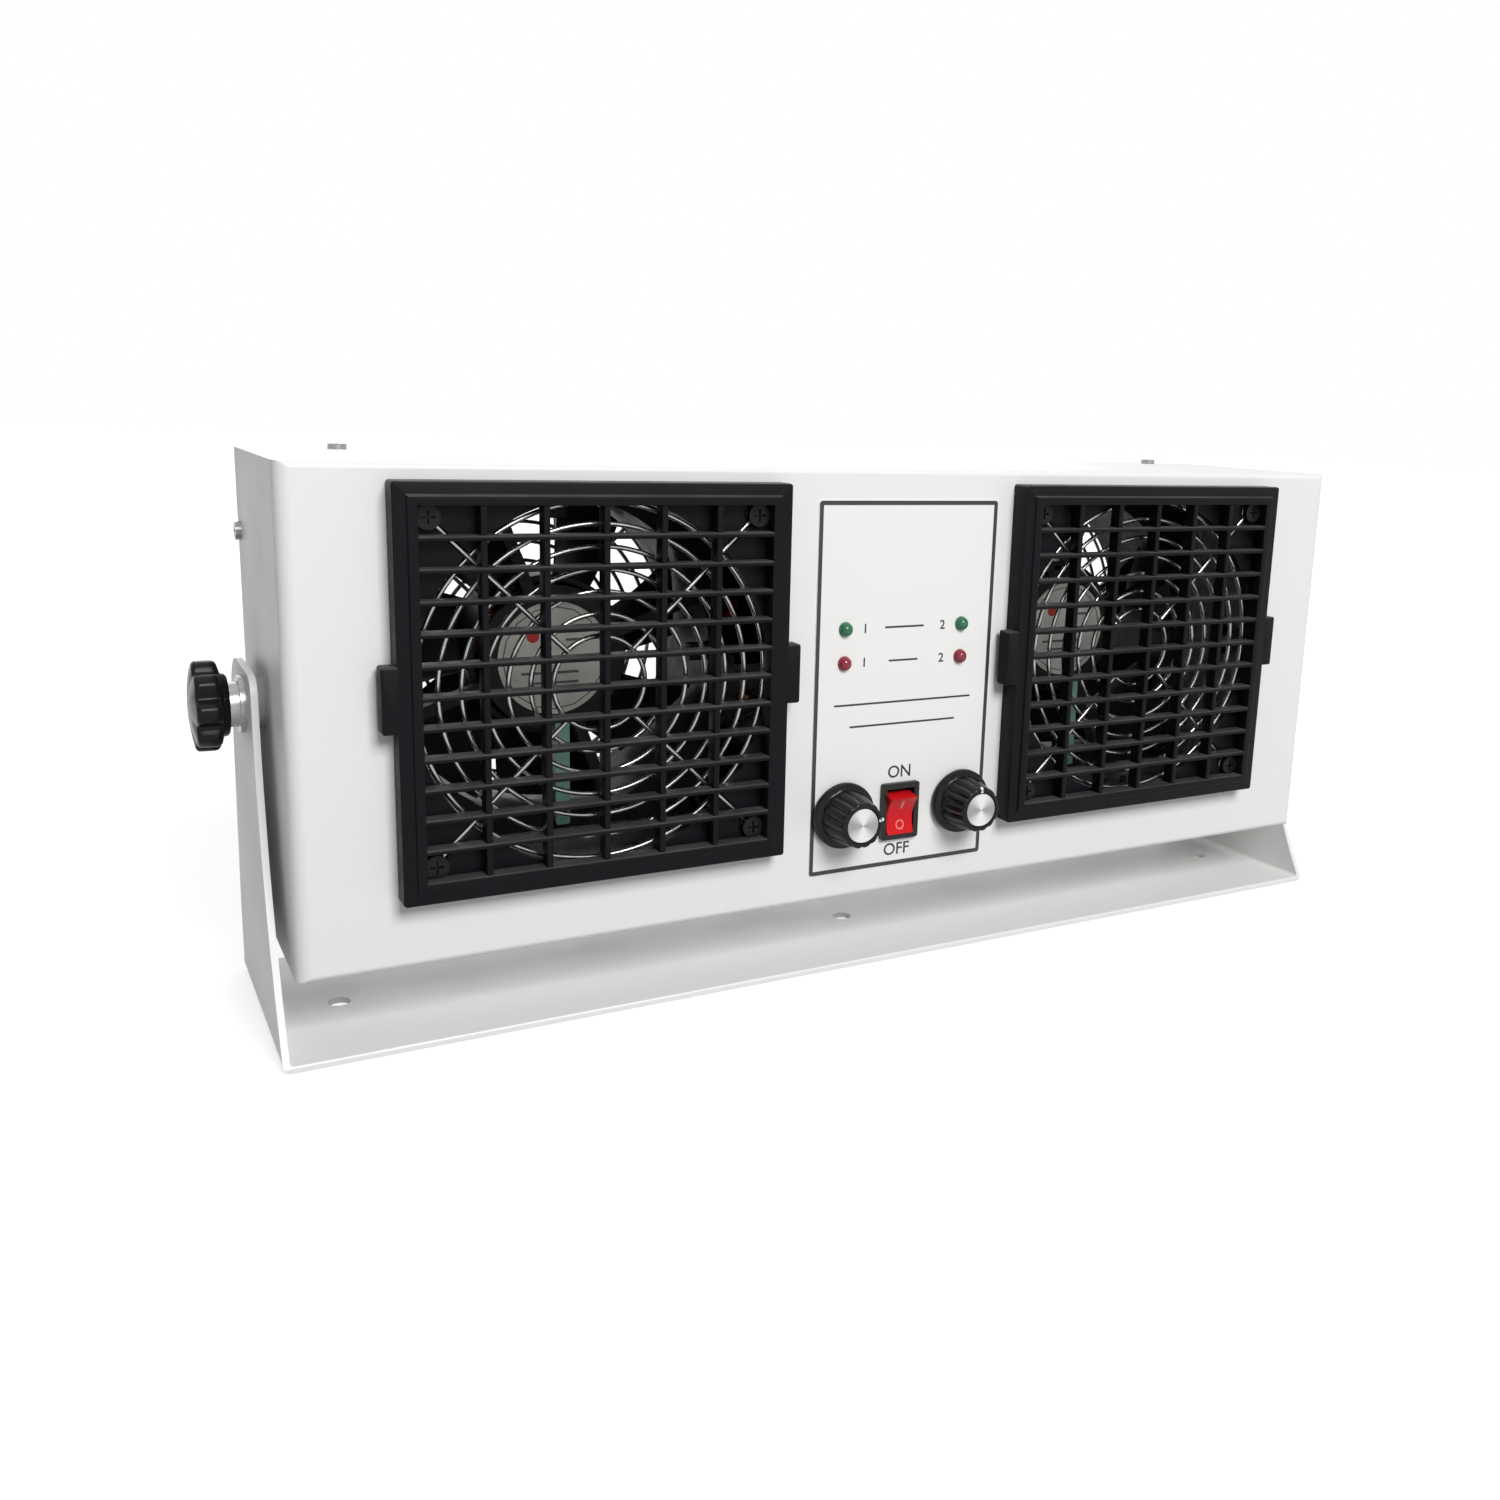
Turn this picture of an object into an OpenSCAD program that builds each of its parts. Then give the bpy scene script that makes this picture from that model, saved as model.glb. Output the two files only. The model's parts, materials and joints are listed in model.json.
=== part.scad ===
// Twin-fan ionizing air blower in a tilting yoke.
// X runs to the right, Y from the outlet side to the rear, Z up. The origin is the middle of the
// three fixing holes, on the underside of the yoke's base. Millimetres.

/* [Case] */
// Width of the sheet-metal case
case_w = 411; // [405:1:430]
// Height of the case
case_h = 153; // [150:1:165]
// Depth of the case
case_d = 84; // [82:1:96]
// Thickness of the case's sheet
case_sheet = 1.5; // [1.2:0.1:2]
// Outside radius of the upright front edges
case_bend = 4.5; // [3:0.5:8]
// Depth of the rear cover's side flanges
cover_flange = 14; // [10:1:20]

/* [Yoke] */
// Thickness of the yoke's sheet
yoke_sheet = 2; // [1.5:0.5:3]
// Gap between the case and each arm
yoke_gap = 3.5; // [2.5:0.5:6]
// Clear height between the base and the case
yoke_drop = 23.5; // [20:0.5:40]
// Reach of the base in front of the hole line
base_front = 42; // [38:1:50]
// Reach of the base behind the hole line
base_back = 46; // [40:1:56]
// Distance from the middle fixing hole to each outer one
hole_pitch = 188; // [150:1:195]
// Diameter of the fixing holes
hole_d = 7; // [5:0.5:9]
// Distance of the hole line behind the case's front
hole_line = 38; // [34:1:46]
// Distance of the tilt axis behind the case's front
pivot_back = 45; // [42:1:48]

/* [Tilt knobs] */
// Diameter over the lobes
tilt_knob_d = 28; // [24:1:32]
// Thickness of the moulded knob
tilt_knob_t = 11; // [9:1:14]
// Number of lobes
tilt_lobes = 8; // [6:1:10]
// Diameter of the clamping stud
stud_d = 6; // [5:1:8]

/* [Fans] */
// Square size of a fan's frame
fan_size = 119; // [119:1:121]
// Distance between a fan's fixing holes
fan_pitch = 105; // [104:0.5:106]
// Depth of a fan
fan_depth = 38; // [32:1:38]
// Bore of a fan's frame
fan_bore = 113; // [110:1:114]
// Centre of the left fan
left_fan_x = -113; // [-118:1:-112]
// Centre of the right fan
right_fan_x = 107; // [106:1:116]
// Height of the fans' centres above the case's middle
fan_lift = 8.7; // [0:0.1:9]
// Number of blades on an impeller
fan_blades = 7; // [5:1:9]
// Pitch of the blades in degrees
blade_pitch = 38; // [30:1:45]
// Chord of a blade where it leaves the hub
blade_root = 32; // [24:1:36]
// Chord of a blade at its tip
blade_tip = 44; // [36:1:46]

/* [Wire guards] */
// Wire diameter
wire_d = 1.6; // [1.4:0.1:2]
// Radius of the outermost ring
guard_r = 57; // [54:0.5:57]
// Step from one ring to the next
ring_step = 7; // [6:0.5:8]
// Number of rings
ring_count = 7; // [5:1:8]

/* [Filter covers] */
// Square size of a clip-on cover
cover_size = 126; // [125:1:128]
// Height of a cover in front of the case
cover_rise = 9; // [8:0.5:10]
// Square opening of the louvre
louvre_size = 112; // [108:1:114]
// Number of slats across the opening
slat_count = 11; // [8:1:13]
// Number of upright bars across the opening
bar_count = 5; // [3:1:7]
// Height of the finger tabs at the sides
tab_h = 20; // [16:1:24]
// Reach of the finger tabs beyond the cover
tab_reach = 4.5; // [3:0.5:4.5]

/* [Control panel] */
// Width of the panel overlay
panel_w = 73; // [70:0.5:76]
// Height of the panel overlay
panel_h = 132.5; // [125:0.5:140]
// Distance of the left lamps and knob from the middle
left_column = 24.5; // [22:0.5:28]
// Distance of the right lamps and knob from the middle
right_column = 25; // [22:0.5:28]
// Height of the green lamps above the case's middle
green_z = 21.5; // [16:0.5:30]
// Height of the red lamps above the case's middle
red_z = 9.5; // [0:0.5:12]
// Depth of the knobs and the switch below the case's middle
knob_drop = 45; // [42:1:50]
// Lamp diameter
lamp_d = 5; // [3:1:5]

/* [Adjusting knobs] */
// Diameter of the knob's skirt
knob_skirt_d = 24; // [20:1:26]
// Diameter of the grip where it meets the skirt
knob_root_d = 19; // [16:1:20]
// Diameter of the grip at its front
knob_nose_d = 16; // [14:1:17]
// Height of the knob
knob_h = 15; // [12:1:18]
// Number of flutes round the grip
knob_flutes = 18; // [12:1:24]

/* [Hidden] */
$fn = 64;
running = 0.05;          // radial clearance of a turning fit
hole_slack = 0.3;        // radial clearance round a fastener
cut = 1;                 // how far a cutter runs past the face it opens
facets = 24;             // round thin wires and pins
small_screw_r = 1.5;     // the screws that hold the rear cover and the inlet
small_hole_r = 1.6;
small_head_r = 3;
small_head_h = 1.8;

// Case
case_y0 = -hole_line;
case_y1 = case_y0 + case_d;
case_x = case_w / 2;
case_z0 = yoke_sheet + yoke_drop;
case_z1 = case_z0 + case_h;
mid_z = case_z0 + case_h / 2;
front_in = case_y0 + case_sheet;
rear_in = case_y1 - case_sheet;
crisp_bend = 2;          // outside radius of the front's top and bottom edges
cover_slack = 0.2;       // gap between the rear cover and the shell
cover_row_y = case_y1 - 6;
cover_row_x = 175;
cover_row_z = 50;

// Yoke and its tilt axis
arm_in = case_x + yoke_gap;
arm_out = arm_in + yoke_sheet;
yoke_bend = 3;
pivot_y = case_y0 + pivot_back;
arm_top = mid_z + 11.5;
arm_front_y = pivot_y - 19;      // the arm's front edge at its top
arm_back_y = pivot_y + 32.5;     // the arm's rear edge at its top
arm_sweep_r = 202.4;             // the hollow sweep of the arm's front edge
arm_nose_r = 6;
arm_tail_r = 18;
stud_r = stud_d / 2;
washer_t = 1.6;
collar_t = 2.9;
knob_in = arm_out + washer_t + collar_t;
knob_out = knob_in + tilt_knob_t;
nut_t = 6;
stud_grip = 7;           // how far a stud is moulded into its knob

// Fans, from the rear cover forwards
fan_z = mid_z + fan_lift;
fan_y1 = rear_in;
fan_y0 = fan_y1 - fan_depth;
fan_xs = [left_fan_x, right_fan_x];
flange_t = 4.5;
corner_r = 7;
hub_r = 28;
hub_wall = 2.5;
barrel_r = fan_size / 2 - 0.3;
tip_gap = 1.2;           // between a blade's tip and the bore
blade_t = 1.8;
blade_camber_r = 46;
blade_rest = 20;         // the first blade's angle past twelve o'clock at rest
sleeve_r = 6;            // the tube that carries the stator and the bearings
sleeve_end = fan_y0 + 30;
lug_r = 48;              // inner end of the emitter plate's lugs
plate_r = 25;            // the motor's mounting disc
plate_t = 3;
label_r = 19.5;
label_t = 0.5;
bearing_r = 4;
shaft_r = 1.5;
emitter_t = 4;
air_r = 58;              // opening in the sheet metal in front of and behind a fan
screw_r = 2;
screw_nut = 7;           // across flats
screw_nut_t = 3.2;
screw_hole_r = 2.2;
head_r = 3.7;            // of a guard screw
head_h = 2.2;
wire_r = wire_d / 2;
eye_r = 3;               // middle radius of a guard's fixing loops
weld = 0.3;              // how deep crossing wires are welded into each other

// Filter base and cover
base_t = 3;
base_half = cover_size / 2 - 2.2;
skirt_t = 2;
slat_t = 1.6;
bar_t = 2;
lip_w = 3;               // raised lip round the louvre
lip_step = 1;
cell_z = louvre_size / (slat_count + 1);
cell_x = louvre_size / (bar_count + 1);

// Control panel, behind and in front of the case's front
panel_t = 0.3;
panel_y = case_y0 - panel_t;
panel_x = 0.5;
panel_z = mid_z - 0.5;
panel_corner_r = 1.2;
lamp_r = lamp_d / 2;
lead_x = 1.27;           // half the distance between a lamp's leads
lead_r = 0.3;
lamp_xs = [-left_column, right_column - 1.5];
knob_xs = [-left_column + 1, right_column + 1];
knob_z = mid_z - knob_drop;
knob_back = panel_y - 0.6;
cap_r = 6.15;
cap_seat = 0.5;
shaft_end_r = 3;
shaft_bore_l = 12;
bush_r = 3.5;
bush_l = 3;              // reach of a potentiometer's bush in front of the panel
pot_r = 8.25;
board_y = case_y0 + 18;
board_t = 1.6;
board_w = 72;
board_h = 90;
board_z = mid_z + 15;
bezel_w = 15.5;
bezel_h = 21;
bezel_t = 1.8;
switch_z = knob_z - 1;
body_w = 13;             // the switch's housing behind the panel
body_h = 19;
rocker_y = case_y0 + 4;  // the rocker's pivot
rocker_w = 11;
rocker_half = 7.1;
rocker_pin_r = 1.2;
rocker_pin_half = 6.2;
rocker_rest = 10;        // tilt of the rocker away from level at rest
bezel_back = case_y0 + 19;
terminal_l = 8;

// Power inlet
inlet_x = -24;
inlet_z = mid_z - 48;
inlet_pitch = 40;
inlet_floor = case_y1 - 14.5;
inlet_pin_tip = case_y1 - 2.5;
inlet_w = 27;
inlet_h = 20;
inlet_rim = 2.5;
inlet_wall = 3;
contact_w = 2;
contact_h = 4;
contacts = [[-7, -2], [0, 2], [7, -2]];
earth_z = 84;

// Mains transformer, standing on the rear cover
core_x = 4;
core_y = 14;
core_z = 40;
core_w = 38;
core_h = 42;
core_t = 22;
core_leg = 6.5;
window_w = 6;
window_h = core_h - 2 * core_leg;
coil_bulge = 6;          // reach of the winding in front of and behind the core

// Routes of the inner wiring, from terminal to terminal
mains_wire_r = 1.1;
hv_lead_r = 1.5;
fan_lead_r = 1.3;
live_route = [[-31, 22, 52], [-31, 12, 50], [-24, 0, 48], [-10, -8, 52], [-4.5, -12, 57]];
switched_route = [[3.5, -12, 57], [5, -8, 50], [10, -3, 44], [17, 4, 44], [20, 9, 50]];
neutral_route = [[-17, 22, 52], [-17, 14, 46], [-6, 8, 40], [6, 4, 38], [14, 9, 50]];
earth_route = [[-24, 22, 56], [-24, 14, 60], [-24, 14, 72], [-24, 22, 80], [-24, 33, 84]];
left_hv_route = [[-37, 22, 124], [-42, 20, 126], [-46, 12, 126], [-48, 6, 124], [-54.5, 4.5, 122]];
right_hv_route = [[33, 22, 124], [38, 20, 126], [41, 12, 126], [43, 6, 124], [48.5, 4.5, 122]];
left_fan_route = [
    [-65.5, 28, 77.5], [-58, 28, 72], [-49, 20, 74], [-44, 6, 84], [-10, 2, 92], [14, 4, 84], [18, 9, 72]];
right_fan_route = [[59, 28, 77.5], [52, 28, 72], [46, 18, 74], [43, 6, 80], [34, 4, 82], [28, 9, 72]];

// ---- shared shapes -------------------------------------------------------------------------

module rounded(w, h, r) {
    square([w - 2 * r, h], center = true);
    square([w, h - 2 * r], center = true);
    for (x = [-1, 1], y = [-1, 1]) translate([x * (w / 2 - r), y * (h / 2 - r)]) circle(r);
}

// A flat outline drawn in X and Z, thickened from y0 back to y1
module extrude_y(y0, y1) {
    translate([0, y1, 0]) rotate([90, 0, 0]) linear_extrude(y1 - y0) children();
}

// A flat outline drawn in Y and Z, thickened from x0 to x1
module extrude_x(x0, x1) {
    translate([x0, 0, 0]) rotate([90, 0, 90]) linear_extrude(x1 - x0) children();
}

module rod_y(x, z, r, y0, y1) {
    translate([x, y1, z]) rotate([90, 0, 0]) cylinder(r = r, h = y1 - y0);
}

module rod_x(y, z, r, x0, x1) {
    translate([x0, y, z]) rotate([0, 90, 0]) cylinder(r = r, h = x1 - x0);
}

module rod_z(x, y, r, z0, z1) {
    translate([x, y, z0]) cylinder(r = r, h = z1 - z0);
}

module hex_y(x, z, across, y0, y1) {
    translate([x, y1, z]) rotate([90, 0, 0]) cylinder(d = across / cos(30), h = y1 - y0, $fn = 6);
}

module both_sides() {
    children();
    mirror([1, 0, 0]) children();
}

// The four fixing places of a fan, and those of both fans
module at_corners(x, z = fan_z) {
    for (i = [-1, 1], j = [-1, 1]) {
        translate([x + i * fan_pitch / 2, 0, z + j * fan_pitch / 2]) children();
    }
}

module at_all_corners() {
    for (x = fan_xs) at_corners(x) children();
}

// A pan head screw along +Z with the head's underside at the origin and a cross recess
module pan_screw(r, head_r, head_h, length) {
    difference() {
        union() {
            cylinder(r = head_r, h = head_h);
            translate([0, 0, -length]) cylinder(r = r, h = length + head_h / 2);
        }
        for (a = [0, 90]) rotate(a) {
            translate([-head_r * 0.55, -head_r * 0.1, head_h * 0.5])
                cube([head_r * 1.1, head_r * 0.2, head_h]);
        }
    }
}

// ---- swept wires ---------------------------------------------------------------------------

wire_sides = 8;
wire_steps = 5;
function unit(v) = v / norm(v);
// A smooth curve through the points p of a route: a Catmull-Rom stretch from p[i] to p[i + 1]
function knot(p, i) = p[max(0, min(len(p) - 1, i))];
function blend(a, b, c, d, t) = 0.5 * (2 * b + (c - a) * t + (2 * a - 5 * b + 4 * c - d) * t * t
    + (3 * b - a - 3 * c + d) * t * t * t);
function smooth(p) = concat(
    [for (i = [0 : len(p) - 2], s = [0 : wire_steps - 1])
        blend(knot(p, i - 1), p[i], p[i + 1], knot(p, i + 2), s / wire_steps)],
    [p[len(p) - 1]]);
function heading(c, i) = unit(c[min(i + 1, len(c) - 1)] - c[max(i - 1, 0)]);
function side_of(t) = unit(cross(t, abs(t[2]) > 0.8 ? [1, 0, 0] : [0, 0, 1]));
function hoop(c, i, r) = let (t = heading(c, i), u = side_of(t), v = cross(t, u))
    [for (k = [0 : wire_sides - 1]) let (a = 360 * k / wire_sides)
        c[i] + r * (cos(a) * u + sin(a) * v)];

module wire(route, r) {
    c = smooth(route);
    n = len(c);
    s = wire_sides;
    polyhedron(
        points = [for (i = [0 : n - 1]) each hoop(c, i, r)],
        faces = concat(
            [[for (k = [0 : s - 1]) k]],
            [for (i = [0 : n - 2], k = [0 : s - 1])
                [i * s + k, (i + 1) * s + k, (i + 1) * s + (k + 1) % s, i * s + (k + 1) % s]],
            [[for (k = [s - 1 : -1 : 0]) (n - 1) * s + k]]));
}

// ---- yoke ----------------------------------------------------------------------------------

// Side view of an arm: a broad foot, a hollow sweep up its front edge, and a rounded head
module arm_outline() {
    toe = base_front + 4;    // the sweep trims the outline back from here to the base's front edge
    difference() {
        union() {
            polygon([
                [-toe, 0], [base_back, 0], [base_back, case_z0],
                [arm_back_y, arm_top - arm_tail_r], [arm_back_y - arm_tail_r, arm_top - arm_tail_r],
                [arm_back_y - arm_tail_r, arm_top], [arm_front_y + arm_nose_r, arm_top],
                [arm_front_y + arm_nose_r, arm_top - arm_nose_r],
                [arm_front_y, arm_top - arm_nose_r], [-toe, arm_top - arm_nose_r]]);
            translate([arm_back_y - arm_tail_r, arm_top - arm_tail_r]) circle(arm_tail_r);
            translate([arm_front_y + arm_nose_r, arm_top - arm_nose_r]) circle(arm_nose_r);
        }
        translate([arm_front_y - arm_sweep_r, arm_top - arm_nose_r]) circle(arm_sweep_r, $fn = 200);
        translate([-base_front - toe, -cut]) square([toe, arm_top]);
    }
}

// Front view of the yoke: a channel open at the top with small bends at its foot
module yoke_channel() {
    difference() {
        translate([0, arm_top]) rounded(2 * arm_out, 2 * arm_top, yoke_bend);
        translate([0, arm_top]) rounded(2 * arm_in, 2 * (arm_top - yoke_sheet), yoke_bend - yoke_sheet);
        translate([-arm_out - cut, arm_top + cut]) square([2 * (arm_out + cut), arm_top]);
    }
}

module mounting_bracket() {
    color("whitesmoke") difference() {
        intersection() {
            extrude_y(-base_front, base_back) yoke_channel();
            extrude_x(-arm_out, arm_out) arm_outline();
        }
        for (i = [-1 : 1]) rod_z(i * hole_pitch, 0, hole_d / 2, -cut, yoke_sheet + cut);
        rod_x(pivot_y, mid_z, stud_r + hole_slack, -arm_out - cut, arm_out + cut);
    }
}

module pivot_spacers() {
    spacer_r = 8;
    color("dimgray") both_sides() difference() {
        rod_x(pivot_y, mid_z, spacer_r, case_x, arm_in);
        rod_x(pivot_y, mid_z, stud_r + hole_slack, case_x - cut, arm_in + cut);
    }
}

module tilt_washers() {
    washer_r = 9;
    color("silver") both_sides() difference() {
        rod_x(pivot_y, mid_z, washer_r, arm_out, arm_out + washer_t);
        rod_x(pivot_y, mid_z, stud_r + hole_slack, arm_out - cut, arm_out + washer_t + cut);
    }
}

module pivot_nuts() {
    across = 13;
    color("silver") both_sides() difference() {
        translate([case_x - case_sheet - nut_t, pivot_y, mid_z]) rotate([0, 90, 0])
            cylinder(d = across / cos(30), h = nut_t, $fn = 6);
        rod_x(pivot_y, mid_z, stud_r + running, case_x - case_sheet - nut_t - cut, case_x);
    }
}

// The moulded knob of the right side: lobes round a core, with a domed face
module tilt_knob() {
    lobe_r = 3.4;
    crown_r = 40;
    color("black") difference() {
        intersection() {
            translate([knob_in, pivot_y, mid_z]) rotate([0, 90, 0]) linear_extrude(tilt_knob_t) {
                circle(tilt_knob_d / 2 - lobe_r);
                for (i = [0 : tilt_lobes - 1]) rotate(i * 360 / tilt_lobes) {
                    translate([tilt_knob_d / 2 - lobe_r, 0]) circle(lobe_r);
                }
            }
            translate([knob_out - crown_r, pivot_y, mid_z]) sphere(crown_r, $fn = 96);
        }
        rod_x(pivot_y, mid_z, stud_r, knob_in - cut, knob_in + stud_grip);
    }
}

// The clamping stud of the right side, with the collar that bears on the washer
module tilt_stud() {
    collar_r = 7;
    past_nut = 2;
    color("silver") {
        rod_x(pivot_y, mid_z, stud_r, case_x - case_sheet - nut_t - past_nut, knob_in + stud_grip);
        rod_x(pivot_y, mid_z, collar_r, arm_out + washer_t, knob_in);
    }
}

// ---- case ----------------------------------------------------------------------------------

// A box open at the rear, inset from the case's outside: round upright edges, crisp level ones
module case_block(inset, y_end) {
    r_up = case_bend - inset;
    r_level = crisp_bend - inset;
    y_start = case_y0 + inset;
    depth = y_end - y_start;
    half = case_x - inset;
    intersection() {
        translate([0, 0, case_z0 + inset]) linear_extrude(case_h - 2 * inset) {
            translate([-half, y_start + r_up]) square([2 * half, depth - r_up]);
            translate([-half + r_up, y_start]) square([2 * (half - r_up), r_up + cut]);
            for (i = [-1, 1]) translate([i * (half - r_up), y_start + r_up]) circle(r_up);
        }
        extrude_x(-case_x, case_x) {
            translate([y_start + r_level, case_z0 + inset]) square([depth - r_level, case_h - 2 * inset]);
            translate([y_start, case_z0 + inset + r_level])
                square([r_level + cut, case_h - 2 * (inset + r_level)]);
            for (z = [case_z0 + inset + r_level, case_z1 - inset - r_level]) {
                translate([y_start + r_level, z]) circle(r_level);
            }
        }
    }
}

// Everything that passes through the case's front
module front_cutouts() {
    y0 = panel_y - cut;
    y1 = front_in + cut;
    for (x = fan_xs) rod_y(x, fan_z, air_r, y0, y1);
    at_all_corners() rod_y(0, 0, screw_hole_r, y0, y1);
    panel_cutouts(y0, y1);
}

module panel_cutouts(y0, y1) {
    round_gap = 0.1;
    square_gap = 0.2;
    for (x = lamp_xs, z = [green_z, red_z]) rod_y(x, mid_z + z, lamp_r + round_gap, y0, y1);
    for (x = knob_xs) rod_y(x, knob_z, bush_r + round_gap, y0, y1);
    translate([0, y0, switch_z]) extrude_y(0, y1 - y0)
        square([body_w + 2 * square_gap, body_h + 2 * square_gap], center = true);
}

module front_shell() {
    color("white") difference() {
        case_block(0, case_y1);
        case_block(case_sheet, case_y1 + cut);
        front_cutouts();
        side_cutouts(small_hole_r);
        rod_x(pivot_y, mid_z, stud_r + hole_slack, -case_x - cut, case_x + cut);
    }
}

// Holes for the screws that join the rear cover to the shell
module side_cutouts(r) {
    for (z = [-1, 1]) rod_x(cover_row_y, mid_z + z * cover_row_z, r, -case_x - cut, case_x + cut);
    for (x = [-1, 1]) rod_z(x * cover_row_x, cover_row_y, r, case_z0 - cut, case_z1 + cut);
}

module rear_cover() {
    half_x = case_x - case_sheet - cover_slack;
    half_z = case_h / 2 - case_sheet - cover_slack;
    t = 1.2;
    bend_r = 2;
    gap = 0.2;
    color("white") translate([0, 0, mid_z]) difference() {
        extrude_y(case_y1 - cover_flange, case_y1) rounded(2 * half_x, 2 * half_z, bend_r);
        extrude_y(case_y1 - cover_flange - cut, rear_in)
            rounded(2 * (half_x - t), 2 * (half_z - t), bend_r - t);
        translate([0, 0, -mid_z]) {
            for (x = fan_xs) rod_y(x, fan_z, air_r, rear_in - cut, case_y1 + cut);
            at_all_corners() rod_y(0, 0, screw_hole_r, rear_in - cut, case_y1 + cut);
            translate([inlet_x, 0, inlet_z]) {
                extrude_y(rear_in - cut, case_y1 + cut)
                    square([inlet_w + 2 * gap, inlet_h + 2 * gap], center = true);
                for (i = [-1, 1]) rod_y(i * inlet_pitch / 2, 0, small_hole_r, rear_in - cut, case_y1 + cut);
            }
            side_cutouts(small_screw_r);
        }
    }
}

module cover_screw(length) {
    pan_screw(small_screw_r, small_head_r, small_head_h, length);
}

module cover_screws() {
    length = 6;
    inlet_length = 8;
    color("silver") {
        both_sides() {
            for (z = [-1, 1]) translate([case_x, cover_row_y, mid_z + z * cover_row_z])
                rotate([0, 90, 0]) cover_screw(length);
            translate([cover_row_x, cover_row_y, case_z1]) cover_screw(length);
            translate([cover_row_x, cover_row_y, case_z0]) rotate([180, 0, 0]) cover_screw(length);
        }
        for (i = [-1, 1]) {
            translate([inlet_x + i * inlet_pitch / 2, case_y1 + inlet_rim, inlet_z])
                rotate([-90, 0, 0]) cover_screw(inlet_length);
        }
    }
}

// ---- control panel -------------------------------------------------------------------------

module panel_overlay() {
    color("ghostwhite") difference() {
        translate([panel_x, 0, panel_z]) extrude_y(panel_y, case_y0)
            rounded(panel_w, panel_h, panel_corner_r);
        panel_cutouts(panel_y - cut, case_y0 + cut);
    }
}

// A lamp: a domed body through the panel, a rim behind it and two legs to the board
module lamp(x, z) {
    dome_y = case_y0 - 0.6;
    body_end = front_in + 4;
    past_board = 1;
    rod_y(x, z, lamp_r, dome_y, body_end);
    translate([x, dome_y, z]) sphere(lamp_r);
    for (i = [-1, 1]) rod_y(x + i * lead_x, z, lead_r, body_end - cut, board_y + board_t + past_board);
}

module green_leds() {
    color("limegreen") for (x = lamp_xs) lamp(x, mid_z + green_z);
}

module red_leds() {
    color("red") for (x = lamp_xs) lamp(x, mid_z + red_z);
}

module led_clips() {
    clip_r = 4;
    clip_end = front_in + 5;
    color("black") for (x = lamp_xs, z = [green_z, red_z]) difference() {
        rod_y(x, mid_z + z, clip_r, front_in, clip_end);
        rod_y(x, mid_z + z, lamp_r, front_in - cut, clip_end + cut);
    }
}

// The switch's housing: a rim on the panel and a box behind it, open to the front
module rocker_bezel() {
    opening_w = 11.5;
    opening_h = 16.8;
    opening_end = case_y0 + 13;
    rim_r = 1;
    pin_room = rocker_pin_half + 0.1;
    color("black") translate([0, 0, switch_z]) difference() {
        union() {
            extrude_y(panel_y - bezel_t, panel_y) rounded(bezel_w, bezel_h, rim_r);
            extrude_y(panel_y - 0.1, bezel_back) square([body_w, body_h], center = true);
        }
        extrude_y(panel_y - bezel_t - cut, opening_end) square([opening_w, opening_h], center = true);
        rod_x(rocker_y, 0, rocker_pin_r + running, -pin_room, pin_room);
    }
}

// Side view of the rocker when level: a body whose front dips in the middle
module rocker_outline() {
    reach = 8.2;
    waist = 6;
    tail = 4;
    tail_half = 3;
    polygon([
        [-reach, -rocker_half], [-waist, 0], [-reach, rocker_half], [0, rocker_half],
        [tail, tail_half], [tail, -tail_half], [0, -rocker_half]]);
}

module power_rocker() {
    color("red") translate([0, rocker_y, switch_z]) rotate([rocker_rest, 0, 0]) {
        extrude_x(-rocker_w / 2, rocker_w / 2) rocker_outline();
        rod_x(0, 0, rocker_pin_r, -rocker_pin_half, rocker_pin_half);
    }
}

module rocker_terminals() {
    w = 0.8;
    h = 6.3;
    color("goldenrod") for (x = [-4.5, 3.5]) {
        translate([x - w / 2, bezel_back, switch_z - 3]) cube([w, terminal_l, h]);
    }
}

module potentiometers() {
    can_end = front_in + 9;
    bore_end = front_in + 6;
    color("slategray") for (x = knob_xs) difference() {
        union() {
            rod_y(x, knob_z, pot_r, front_in, can_end);
            rod_y(x, knob_z, bush_r, panel_y - bush_l, front_in + cut);
        }
        rod_y(x, knob_z, shaft_end_r + running, panel_y - bush_l - cut, bore_end);
    }
}

module pot_nuts() {
    across = 10;
    t = 2;
    color("silver") for (x = knob_xs) difference() {
        hex_y(x, knob_z, across, panel_y - t, panel_y);
        rod_y(x, knob_z, bush_r, panel_y - t - cut, panel_y + cut);
    }
}

module pot_shaft(x) {
    color("silver") rod_y(x, knob_z, shaft_end_r, panel_y - shaft_bore_l, front_in + 5.5);
}

// A fluted knob: a flat skirt, a tapering grip and a hollow back over the nut
module adjusting_knob(x) {
    skirt_t = 2.4;
    flute_r = 0.9;
    draft = 4;               // the flutes' lean, in degrees
    recess_r = 6.6;          // over the potentiometer's nut
    recess_h = 3.4;
    color("black") translate([x, knob_back, knob_z]) rotate([90, 0, 0]) difference() {
        union() {
            cylinder(d = knob_skirt_d, h = skirt_t);
            translate([0, 0, skirt_t]) cylinder(d1 = knob_root_d, d2 = knob_nose_d, h = knob_h - skirt_t);
        }
        for (i = [0 : knob_flutes - 1]) rotate((i + 0.5) * 360 / knob_flutes) {
            translate([knob_root_d / 2, 0, skirt_t]) rotate([0, -draft, 0])
                cylinder(r = flute_r, h = knob_h, $fn = facets);
        }
        translate([0, 0, -cut]) cylinder(r = shaft_end_r, h = shaft_bore_l + cut);
        translate([0, 0, -cut]) cylinder(r = recess_r, h = recess_h + cut);
        translate([0, 0, knob_h - cap_seat]) cylinder(r = cap_r, h = cut);
    }
}

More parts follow.
